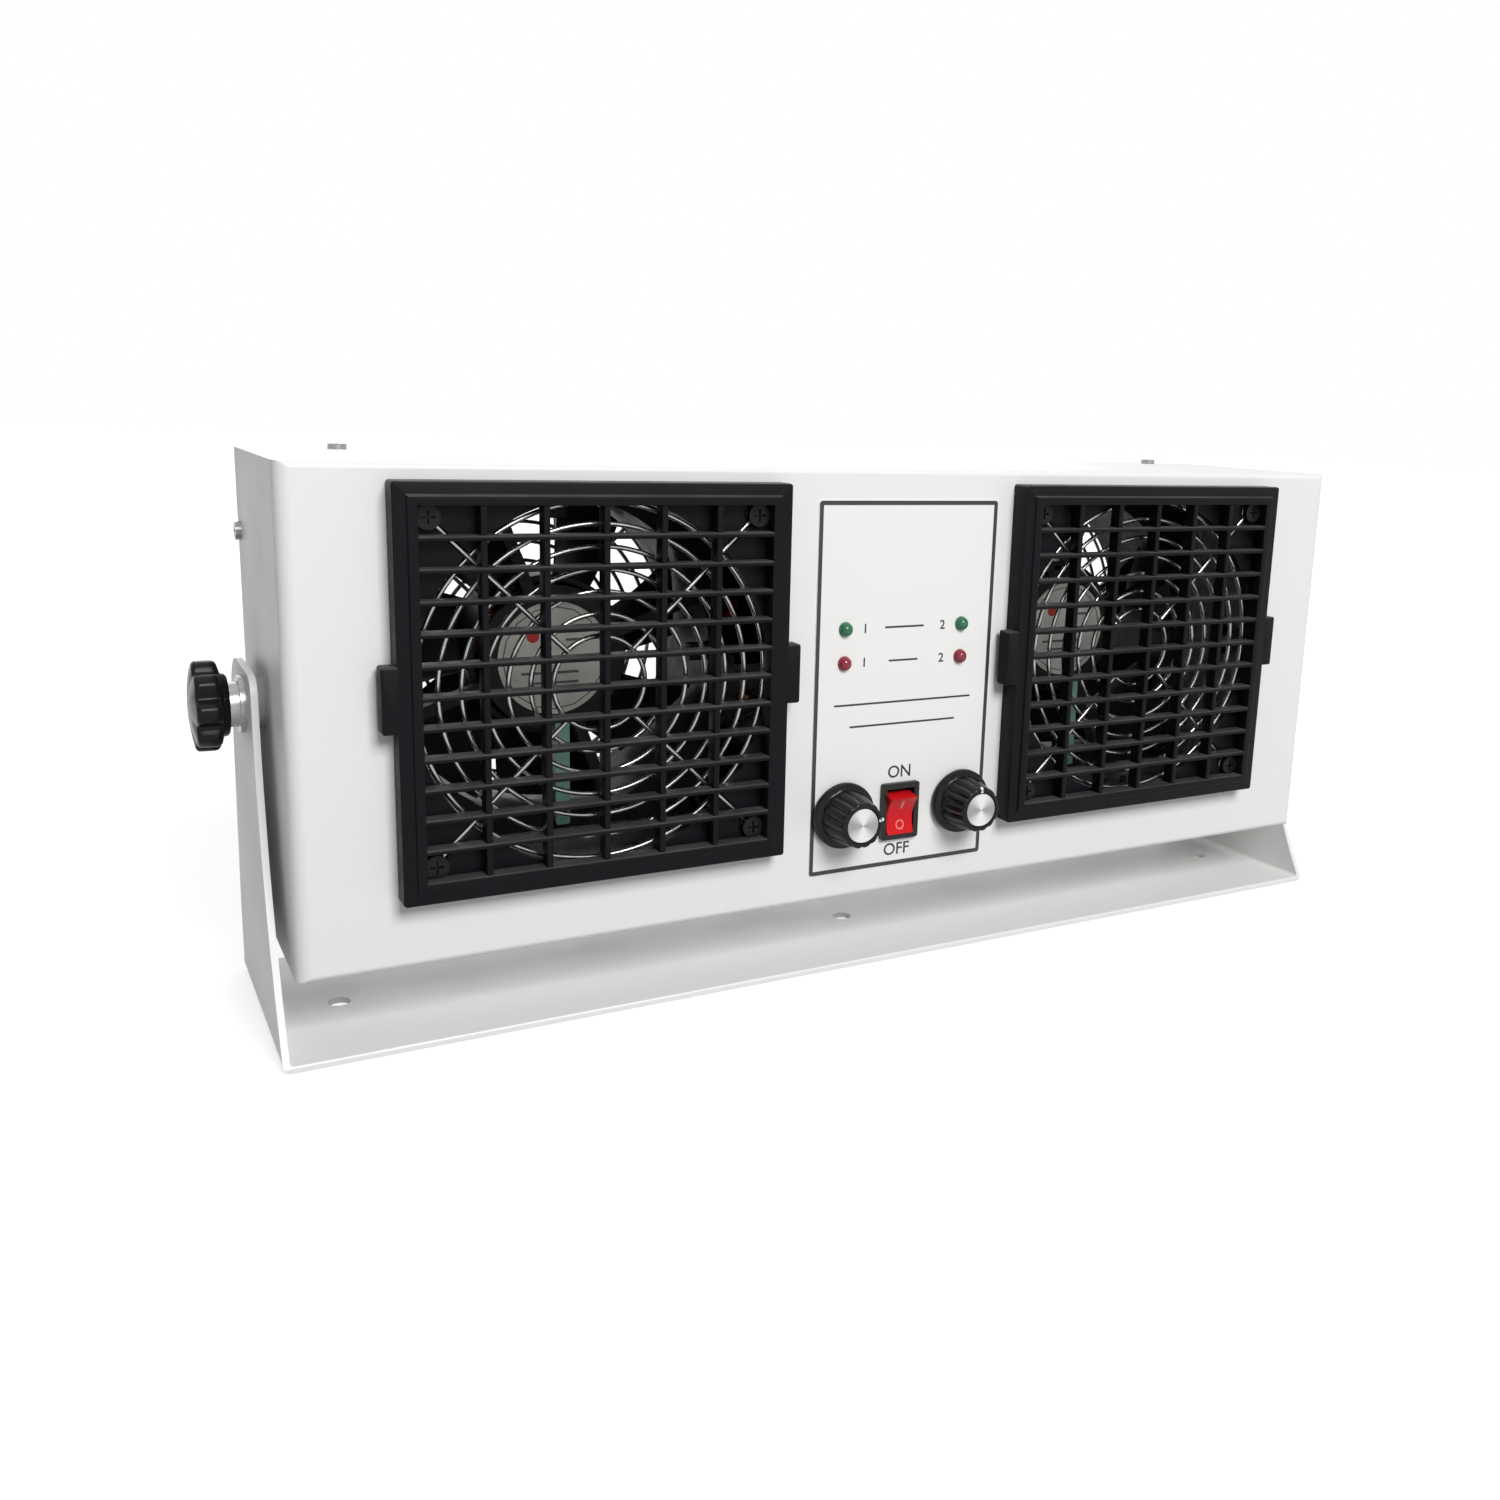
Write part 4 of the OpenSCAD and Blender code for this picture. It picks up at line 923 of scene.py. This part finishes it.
@dataclass
class Fan:
    """A fan's impeller with twisted blades, and the print on its hub label."""

    side: Side
    blades: int = 7
    hub_r: float = 28 * MM
    tip_r: float = 55.2 * MM
    first: float = math.radians(70)
    root_stagger: float = math.radians(44)
    tip_stagger: float = math.radians(35)
    root_chord: float = 31 * MM
    tip_chord: float = 43 * MM
    blade_t: float = 2.0 * MM
    camber: float = 0.11
    sweep: float = math.radians(6)
    thinning: float = 0.4
    cup_wall: float = 2.5 * MM
    cup_floor: float = 3 * MM
    cup_rim: float = 0.4 * MM
    print_t: float = 0.08 * MM
    ring_d: float = 36 * MM
    ring_w: float = 0.4 * MM
    rule_w: float = 0.9 * MM
    dot_r: float = 2.2 * MM
    dot_place: tuple[float, float] = (-7.4 * MM, 7.8 * MM)
    # Middle across, middle upright and length of each rule on the label, in millimetres
    rules: tuple[Point, ...] = ((6.5, 9.0, 10), (8.0, 6.2, 8), (0.0, -1.5, 24), (-1.5, -5.0, 20),
                                (0.5, -8.5, 16), (-1.0, -12.0, 9))

    def __post_init__(self) -> None:
        """Read the impeller's place from the frame."""
        self.node = f"fan_impeller_{self.side.value}"
        low, high = box(self.node)
        self.axis = middle(f"fan_shaft_{self.side.value}") * LEVEL
        self.front, self.back, self.label_y = low[1], high[1], box("fan_labels")[0][1]

    def blade(self, turn: float) -> Surface:
        """One blade. Its section is an ellipse on a cambered chord: the point at c from 0 to 1 along the
        chord lies camber (1 - 4 c (1 - c)) chords in front of it, and the chord's stagger and length
        change in step with the radius.

        Args:
            turn: The blade's angle about the fan's axis.

        Returns:
            The closed blade.
        """
        rings, around_it, root = 14, 28, 1 * MM
        span = np.linspace(0, 1, rings)[:, None]
        phase = np.arange(around_it)[None, :] * FULL_TURN / around_it
        r = self.hub_r - root + span * (self.tip_r - self.hub_r + root)
        stagger = self.root_stagger + span * (self.tip_stagger - self.root_stagger)
        chord = self.root_chord + span * (self.tip_chord - self.root_chord)
        c = (1 - np.cos(phase)) / 2
        along = (c - 0.5) * chord
        off = self.blade_t / 2 * np.sin(phase) * (1 - self.thinning * c)
        off = off - self.camber * (1 - 4 * c * (1 - c)) * chord
        around = along * np.cos(stagger) - off * np.sin(stagger)
        depth = along * np.sin(stagger) + off * np.cos(stagger)
        angle = turn + self.sweep * (span - 0.5) - around / r
        y = (self.front + self.back) / 2 + 0.75 * MM + depth
        y = np.clip(y, self.front + 1.5 * MM, self.back - 0.5 * MM)
        return tube(np.stack([r * np.cos(angle), y, r * np.sin(angle)], axis=-1))

    def hub(self) -> Surface:
        """The cup, open to the front, with a rounded rear edge."""
        edge, rim, centre = 3 * MM, self.cup_rim, 0.4 * MM
        inner, floor = self.hub_r - self.cup_wall, self.back - self.cup_floor
        lip = [(inner, floor), (inner, self.front + rim), (inner + rim, self.front),
               (self.hub_r - rim, self.front), (self.hub_r, self.front + rim)]
        outer = arc((self.hub_r - edge, self.back - edge), edge, 0, math.pi / 2, 6)
        return turned(np.concatenate([[(centre, floor)], lip, outer, [(centre, self.back)]]), 72)

    def label_marks(self, shop: Workshop) -> None:
        """Print a red dot, a ring and a few plain rules on the hub's label."""
        dress, place = Dress("case", Slot.LABEL), self.axis + (0, self.label_y, 0)
        dot = turned(np.array([(self.dot_r, -self.print_t), (self.dot_r, 0)]), 24)
        dot = dot.moved(place + (self.dot_place[0], 0, self.dot_place[1]))
        shop.make(f"label_dot_{self.side.value}", dot, dress, shop.palette.inks[Ink.RED])
        lines = [slab(w * MM, self.rule_w, 0.1 * MM, -self.print_t, 0, 0.02 * MM).moved((x * MM, 0, z * MM))
                 for x, z, w in self.rules]
        profile = [(0, -self.print_t), (self.ring_w, -self.print_t), (self.ring_w, 0), (0, 0)]
        ring = framing(np.array(profile), self.ring_d, self.ring_d, self.ring_d / 2 - 0.01 * MM)
        marks = joined([*lines, ring]).moved(place)
        shop.make(f"label_rules_{self.side.value}", marks, dress, shop.palette.inks[Ink.LABEL])

    def build(self, shop: Workshop) -> None:
        """Make the impeller and its label's print."""
        blades = [self.blade(self.first + k * FULL_TURN / self.blades) for k in range(self.blades)]
        whole = joined([self.hub(), *blades]).moved(self.axis)
        dress = Dress(f"{self.side.value}_fan_rotor", Slot.FAN, (self.node,))
        shop.make(f"impeller_{self.side.value}", whole, dress)
        self.label_marks(shop)


# ---- controls ------------------------------------------------------------------------------------------


class Pointer(Enum):
    """Where a dial's white mark sits at rest, as an angle from level right towards the top."""

    RIGHT = math.radians(10)
    TOP = math.pi / 2


@dataclass
class Dial:
    """A fluted knob with a flat skirt, a white mark and a spun aluminium cap."""

    node: str
    body: str
    pointer: Pointer
    flutes: int = 14
    skirt_r: float = 12 * MM
    skirt_t: float = 2.6 * MM
    root_r: float = 9.9 * MM
    nose_r: float = 8.3 * MM
    cap_r: float = 6.1 * MM
    nose_edge: float = 0.9 * MM
    flute_depth: float = 0.085
    mark_l: float = 2.2 * MM
    mark_w: float = 1.1 * MM

    def __post_init__(self) -> None:
        """Read the knob's place from the frame."""
        low, high = box(self.node)
        self.back, self.front = high[1], low[1]
        self.cap_front = box(self.node + "_cap")[0][1]
        self.centre = middle(self.node) * LEVEL

    def grip(self) -> Surface:
        """The skirt and the grip. The grip's radius is scalloped by 1 - depth (1 - |cos(n a / 2)|), fading
        out towards the skirt and the nose."""
        steps = self.flutes * 14
        angle = np.arange(steps) * FULL_TURN / steps
        scallop = 1 - np.abs(np.cos(self.flutes * angle / 2)) ** 0.8
        edge = 0.7 * MM
        top = self.back - self.skirt_t
        skirt = [(self.skirt_r - edge, self.back), (self.skirt_r, self.back - edge),
                 (self.skirt_r, top + edge), (self.skirt_r - 0.3 * edge, top + 0.3 * edge),
                 (self.skirt_r - edge, top), (self.root_r + 1.0 * MM, top)]
        along = np.linspace(0, 1, 10)
        side_r = self.root_r + (self.nose_r - self.root_r) * along
        side_y = top - 0.6 * MM - along * (top - 0.6 * MM - self.front - self.nose_edge)
        nose_centre = (self.nose_r - self.nose_edge, self.front + self.nose_edge)
        nose = arc(nose_centre, self.nose_edge, 0, -math.pi / 2, 5)[1:]
        rim = [(self.cap_r + 0.35 * MM, self.front), (self.cap_r + 0.15 * MM, self.front + 0.5 * MM),
               (0.5 * MM, self.front + 0.5 * MM)]
        side = np.stack([side_r, side_y], axis=-1)
        profile = np.concatenate([[(0.5 * MM, self.back)], skirt, side, nose, rim])
        depth = np.concatenate([np.zeros(1 + len(skirt)), np.minimum(1, along * 5 + 0.25),
                                np.linspace(0.9, 0.2, len(nose)), np.zeros(len(rim))])
        return turned(profile, steps, 1 - self.flute_depth * depth[:, None] * scallop[None, :])

    def cap(self) -> Surface:
        """The cap: a disc with a chamfered rim and a shallow turned dish."""
        y = self.cap_front
        seat, chamfer = self.front + 0.45 * MM, 0.25 * MM
        profile = [(0.3 * MM, seat), (self.cap_r, seat), (self.cap_r, y + chamfer), (self.cap_r - chamfer, y),
                   (self.cap_r - 0.7 * MM, y + 0.02 * MM), (self.cap_r * 0.5, y + 0.07 * MM),
                   (0.3 * MM, y + 0.1 * MM)]
        return turned(np.array(profile), 96)

    def mark(self) -> Surface:
        """The white mark: a small bar that runs over the nose's rim."""
        a = self.pointer.value
        r = self.nose_r - 0.75 * MM
        along = np.array([math.cos(a), 0, math.sin(a)])
        across = np.array([-math.sin(a), 0, math.cos(a)])
        outline = rounded_rectangle(self.mark_l, self.mark_w, 0.45 * MM, 4)
        flat = outline[:, :1] * along + outline[:, 1:] * across + r * along
        beyond = np.maximum(outline[:, 0], 0) / self.mark_l * 2
        flat[:, 1] += self.front - 0.06 * MM + beyond ** 2 * 0.45 * MM
        return leaf(flat)

    def build(self, shop: Workshop) -> None:
        """Make the knob, its cap and its mark."""
        name = self.body + "_"
        shop.make(name + "grip", self.grip().moved(self.centre), Dress(self.body, Slot.KNOB, (self.node,)))
        # The cap's material carries painted highlights: light and dark wedges centred on this cap
        spun = replace(FINISHES[Slot.SPUN], centre=(self.centre[0], self.centre[2])).material(name + "spun")
        cap_dress = Dress(self.body, Slot.SPUN, (self.node + "_cap",))
        shop.make(name + "cap", self.cap().moved(self.centre), cap_dress, spun, crease=25)
        shop.make(name + "mark", self.mark().moved(self.centre), Dress(self.body, Slot.KNOB),
                  shop.palette.inks[Ink.WHITE])


@dataclass
class Switch:
    """The red rocker, whose face is hollowed along an arc, and its marks."""

    rest_tilt: float = math.radians(10)
    width: float = 11 * MM
    half: float = 7.1 * MM
    front: float = 8.3 * MM
    dip: float = 2.3 * MM
    edge: float = 0.6 * MM
    root_depth: float = 4 * MM
    root_half: float = 3 * MM
    print_t: float = 0.06 * MM
    print_sunk: float = 0.2 * MM
    ring_inner: float = 1.2 * MM
    ring_outer: float = 1.75 * MM
    ring_z: float = -4.0 * MM
    stroke_w: float = 0.9 * MM
    stroke_h: float = 3.4 * MM
    stroke_z: float = 3.9 * MM

    def __post_init__(self) -> None:
        """Read the pivot from the joint of the frame."""
        joint = next(j for j in frame["joints"] if j["child"] == "rocker")
        self.pivot = np.array(joint["pos_m"])

    def face(self, z: np.ndarray) -> np.ndarray:
        """Depth of the rocker's face: front - dip (1 - (z / half)^2), forwards of the pivot."""
        return -(self.front - self.dip * (1 - (z / self.half) ** 2))

    def tilted(self, level: Surface) -> Surface:
        """Turn a surface about the pivot's axis to the rocker's place at rest.

        Args:
            level: The surface relative to the pivot, with the rocker level.

        Returns:
            The surface in the frame.
        """
        c, s = math.cos(self.rest_tilt), math.sin(self.rest_tilt)
        x, y, z = level.points.T
        turned_points = np.stack([x, y * c - z * s, y * s + z * c], axis=-1)
        return Surface(turned_points + self.pivot, level.quads, level.caps)

    def rocker(self) -> Surface:
        """The rocker: its side outline is carried across, drawn in by the edge's radius at both ends."""
        z = np.linspace(-self.half, self.half, 17)
        outline = np.concatenate([np.stack([self.face(z), z], axis=-1),
                                  [(0, self.half), (self.root_depth, self.root_half),
                                   (self.root_depth, -self.root_half), (0, -self.half)]])
        turn = np.linspace(0, math.pi / 2, 5)
        inset = np.concatenate([self.edge * (1 - np.sin(turn)), self.edge * (1 - np.sin(turn[::-1]))])
        x = np.concatenate([-self.width / 2 + self.edge * (1 - np.cos(turn)),
                            self.width / 2 - self.edge * (1 - np.cos(turn[::-1]))])
        scale = 1 - inset[:, None] / self.half
        y = outline[None, :, 0] * (1 - inset[:, None] / self.front)
        rings = np.stack([np.broadcast_to(x[:, None], y.shape), y, outline[None, :, 1] * scale], axis=-1)
        return self.tilted(tube(rings))

    def stroke(self) -> Surface:
        """The upright stroke on the rocker's upper half, laid on the hollow face."""
        flat = rounded_rectangle(self.stroke_w, self.stroke_h, 0.3 * MM, 3) + np.array([0, self.stroke_z])
        front = np.stack([flat[:, 0], self.face(flat[:, 1]) - self.print_t, flat[:, 1]], axis=-1)
        return self.tilted(leaf(front))

    def ring(self) -> Surface:
        """The ring on the rocker's lower half: a square profile carried round a circle on the face."""
        a = np.arange(32) * FULL_TURN / 32
        rings = []
        for r, lift in ((self.ring_inner, self.print_t), (self.ring_outer, self.print_t),
                        (self.ring_outer, -self.print_sunk), (self.ring_inner, -self.print_sunk)):
            x, z = r * np.cos(a), r * np.sin(a) + self.ring_z
            rings.append(np.stack([x, self.face(z) - lift, z], axis=-1))
        return self.tilted(tube(np.array(rings), closed=True))

    def build(self, shop: Workshop) -> None:
        """Make the rocker and its marks."""
        shop.make("rocker_cap", self.rocker(), Dress("rocker", Slot.RED, ("power_rocker",)))
        marks = joined([self.stroke(), self.ring()])
        shop.make("rocker_marks", marks, Dress("rocker", Slot.RED), shop.palette.inks[Ink.ROCKER])


@dataclass
class PanelPrint:
    """The border, the words at the switch, and plain numbers and rules by the lamps."""

    line: float = 1.6 * MM
    margin: float = 0.1 * MM
    corner: float = 1.2 * MM
    letter: float = 4.4 * MM
    letter_gap: float = 1.9 * MM
    number: float = 3.2 * MM
    number_step: float = 8 * MM
    lamp_r: float = 2.5 * MM
    rule_t: float = 0.7 * MM
    rule_x: float = 0.5 * MM
    ink_t: float = 0.05 * MM

    def __post_init__(self) -> None:
        """Read the panel's and the lamps' places from the frame."""
        self.low, self.high = box("panel_overlay")
        self.face = self.low[1]
        self.dress = Dress("case", Slot.PANEL_FILM)
        self.bezel_low, self.bezel_high = box("rocker_bezel")
        self.lamp_low, self.lamp_high = box("green_leds")
        self.rows = (middle("green_leds")[2], middle("red_leds")[2])

    def border(self) -> Surface:
        """The line round the panel."""
        width, height = self.high[0] - self.low[0], self.high[2] - self.low[2]
        front = self.face - self.ink_t
        profile = [(self.margin, self.face), (self.margin, front), (self.line, front), (self.line, self.face)]
        return framing(np.array(profile), width, height, self.corner).moved(middle("panel_overlay") * LEVEL)

    def rule(self, x: float, z: float, width: float) -> Surface:
        """A printed rule of a width, with its middle at x and z."""
        plate = slab(width, self.rule_t, self.rule_t * 0.2, self.face - self.ink_t, self.face,
                     self.ink_t * 0.5)
        return plate.moved((x, 0, z))

    def build(self, shop: Workshop) -> None:
        """Print the panel."""
        ink = shop.palette.inks[Ink.PANEL]
        shop.make("panel_border", self.border(), self.dress, ink)
        x = (self.bezel_low[0] + self.bezel_high[0]) / 2
        gap = self.letter_gap + self.letter / 2
        for word, z in (("ON", self.bezel_high[2] + gap), ("OFF", self.bezel_low[2] - gap)):
            shop.letters("panel_" + word.lower(), word, self.letter, (x, self.face, z), self.dress)
        left, right = self.lamp_low[0] + self.lamp_r, self.lamp_high[0] - self.lamp_r
        rules = []
        for row, z in enumerate(self.rows):
            for side, at in enumerate((left + self.number_step, right - self.number_step)):
                place = (at, self.face, z)
                shop.letters(f"panel_number_{row}_{side}", str(side + 1), self.number, place, self.dress)
            rules.append(self.rule((left + right) / 2, z, (16 - 4 * row) * MM))
        below = self.rows[1] - 15 * MM
        rules += [self.rule(self.rule_x, below, 57 * MM), self.rule(self.rule_x, below - 8 * MM, 44 * MM)]
        shop.make("panel_rules", joined(rules), self.dress, ink)


# ---- tilt knobs ----------------------------------------------------------------------------------------


@dataclass
class TiltKnob:
    """A moulded star knob: broad lobes, narrow valleys, a domed face and a neck towards the washer."""

    side: Side
    lobes: int = 8
    radius: float = 14 * MM
    valley: float = 0.2
    neck_r: float = 9.5 * MM

    def __post_init__(self) -> None:
        """Read the knob's place from the frame."""
        low, high = box(f"tilt_knob_{self.side.value}")
        self.way = -1 if self.side is Side.LEFT else 1
        self.inner, self.outer = (high[0], low[0]) if self.way < 0 else (low[0], high[0])
        self.thick = abs(self.outer - self.inner)
        self.centre = (low + high) / 2

    def star(self) -> Surface:
        """The knob. Its radius is R (1 - v h (0.5 - 0.5 cos n a)^2), where h is how far the lobes are
        worked out at that depth: none at the neck, all along the grip, and less on the dome."""
        steps = self.lobes * 16
        a = np.arange(steps) * FULL_TURN / steps
        dip = (0.5 - 0.5 * np.cos(self.lobes * a)) ** 2
        t, r = self.thick, self.radius
        edge = 1.56 * MM
        rows = [(0.5 * MM, 0, 0), (self.neck_r - 0.6 * MM, 0, 0), (self.neck_r, 0.5 * MM, 0),
                (self.neck_r + 0.4 * MM, 0.16 * t, 0.1), (r * 0.93, 0.24 * t, 0.8), (r * 0.985, 0.30 * t, 1),
                (r, 0.38 * t, 1), (r, 0.60 * t, 1), (r * 0.995, 0.74 * t, 1)]
        turn = np.linspace(0, math.pi / 2, 6)[1:]
        shoulder = [(r - edge * (1 - math.cos(u)), 0.74 * t + edge * math.sin(u), 1 - 0.15 * math.sin(u))
                    for u in turn]
        last_r, last_y = shoulder[-1][:2]
        dome = [(last_r * s, last_y + (t - last_y) * (1 - s * s), 0.85 * s)
                for s in (0.85, 0.65, 0.45, 0.25, 0.08)]
        table = np.array(rows + shoulder + dome)
        radius = table[:, :1] * (1 - self.valley * table[:, 2:] * dip[None, :])
        x = self.inner + self.way * table[:, 1:2]
        ring = np.stack([np.broadcast_to(x, radius.shape), radius * np.cos(a), radius * np.sin(a)], axis=-1)
        return tube(ring).moved((0, self.centre[1], self.centre[2]))

    def build(self, shop: Workshop) -> None:
        """Make the knob."""
        node = f"tilt_knob_{self.side.value}"
        shop.make("star_" + node, self.star(), Dress(f"{self.side.value}_tilt_knob", Slot.TILT_KNOB, (node,)))


# ---- floor, light and camera ---------------------------------------------------------------------------


def seen(tree: bpy.types.NodeTree) -> bpy.types.NodeSocket:
    """Tell the rays that show a surface, straight, mirrored or through glass, from those that light it.

    Args:
        tree: The node tree to add to.

    Returns:
        A socket that is 1 for those rays and 0 for all others.
    """
    path = tree.nodes.new("ShaderNodeLightPath")
    result = path.outputs["Is Camera Ray"]
    for kind in ("Is Glossy Ray", "Is Transmission Ray"):
        result = combined(tree, "MAXIMUM", result, path.outputs[kind])
    return result


@dataclass(frozen=True)
class Lamp:
    """A square soft lamp: its place, its width and its power in watts."""

    name: str
    place: Point
    size: float
    power: float


@dataclass
class Studio:
    """A pale floor, soft lamps, a plain world and the camera."""

    lamps: tuple[Lamp, ...] = (Lamp("key", (0.05, -1.65, 1.3), 0.8, 34.0),
                               Lamp("top", (0.0, 0.2, 1.7), 1.6, 6.0),
                               Lamp("rear", (0.5, 1.5, 1.0), 1.4, 9.0))
    lit_at: Point = (0.0, 0.0, 0.09)
    ambient: float = 0.12
    floor_half: float = 6.0
    floor_drop: float = 0.2 * MM
    floor_shade: float = 0.45
    floor_glow: float = 0.72
    glow_from: float = 0.4
    glow_full: float = 1.8
    camera_place: Point = (-0.2601, -0.4544, 0.1994)
    tilt: float = math.radians(11.9)
    heading: float = math.radians(31.07)
    roll: float = math.radians(2.31)
    lens: float = 33.6
    shift: tuple[float, float] = (-0.0867, -0.0325)

    def world(self) -> None:
        """A plain white world: dim as a light, white where it is seen or mirrored."""
        world = bpy.data.worlds.new("studio_world")
        bpy.context.scene.world = world
        world.use_nodes = True
        tree = world.node_tree
        background = tree.nodes["Background"]
        strength = tree.nodes.new("ShaderNodeMapRange")
        strength.inputs["To Min"].default_value = self.ambient
        strength.inputs["To Max"].default_value = 1.0
        tree.links.new(seen(tree), strength.inputs["Value"])
        tree.links.new(strength.outputs[0], background.inputs["Strength"])
        background.inputs["Color"].default_value = (1, 1, 1, 1)

    def floor(self) -> None:
        """A wide pale floor that keeps the object's shadow and turns white towards its rim."""
        half = self.floor_half
        mesh = bpy.data.meshes.new("floor")
        corners = [(-half, -half, 0), (half, -half, 0), (half, half, 0), (-half, half, 0)]
        mesh.from_pydata(corners, [], [(0, 1, 2, 3)])
        floor = placed("floor", mesh)
        floor.location.z = -self.floor_drop
        recipe = Recipe("pale_floor")
        recipe.set(Base_Color=(*[self.floor_shade] * 3, 1), Roughness=0.9, Emission_Color=(1, 1, 1, 1))
        away = recipe.add("VectorMath", Vector=recipe.place)
        away.operation = "LENGTH"
        glow = recipe.add("MapRange", Value=away.outputs["Value"], From_Min=self.glow_from,
                          From_Max=self.glow_full, To_Min=self.floor_glow, To_Max=1.0)
        shown = recipe.add("MapRange", Value=seen(recipe.tree), To_Min=0.0, To_Max=glow.outputs[0])
        recipe.set(Emission_Strength=shown.outputs[0])
        mesh.materials.append(recipe.material)

    def hang(self, lamp: Lamp) -> None:
        """Hang a lamp, facing the object."""
        data = bpy.data.lights.new(lamp.name, "AREA")
        data.size = lamp.size
        data.energy = lamp.power
        light = placed(lamp.name, data)
        light.location = lamp.place
        way = Vector(self.lit_at) - Vector(lamp.place)
        light.rotation_euler = way.to_track_quat("-Z", "Y").to_euler()

    def camera(self) -> None:
        """The camera, from its place, its heading, its downward tilt and its roll."""
        data = bpy.data.cameras.new("camera")
        data.sensor_width = 36
        data.lens = self.lens
        data.shift_x, data.shift_y = self.shift
        data.clip_start = 0.01
        camera = placed("camera", data)
        aim = (Matrix.Rotation(-self.heading, 4, "Z") @ Matrix.Rotation(-self.tilt, 4, "X")
               @ Matrix.Rotation(-self.roll, 4, "Y") @ Matrix.Rotation(math.pi / 2, 4, "X"))
        camera.matrix_world = Matrix.Translation(self.camera_place) @ aim
        bpy.context.scene.camera = camera

    def build(self) -> None:
        """Set up the studio."""
        self.camera()
        self.world()
        self.floor()
        for lamp in self.lamps:
            self.hang(lamp)
        bpy.context.scene.view_settings.view_transform = "Standard"


def main() -> None:
    """Build the studio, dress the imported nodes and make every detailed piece."""
    logging.basicConfig(level=logging.INFO, format="%(message)s")
    Studio().build()
    palette = Palette()
    palette.dress_nodes()
    shop = Workshop(palette)
    for side in Side:
        Louvre(side).build(shop)
        Fan(side).build(shop)
        TiltKnob(side).build(shop)
    Dial("speed_knob", "left_dial", Pointer.RIGHT).build(shop)
    Dial("balance_knob", "right_dial", Pointer.TOP).build(shop)
    Switch().build(shop)
    PanelPrint().build(shop)


if __name__ == "__main__":
    main()
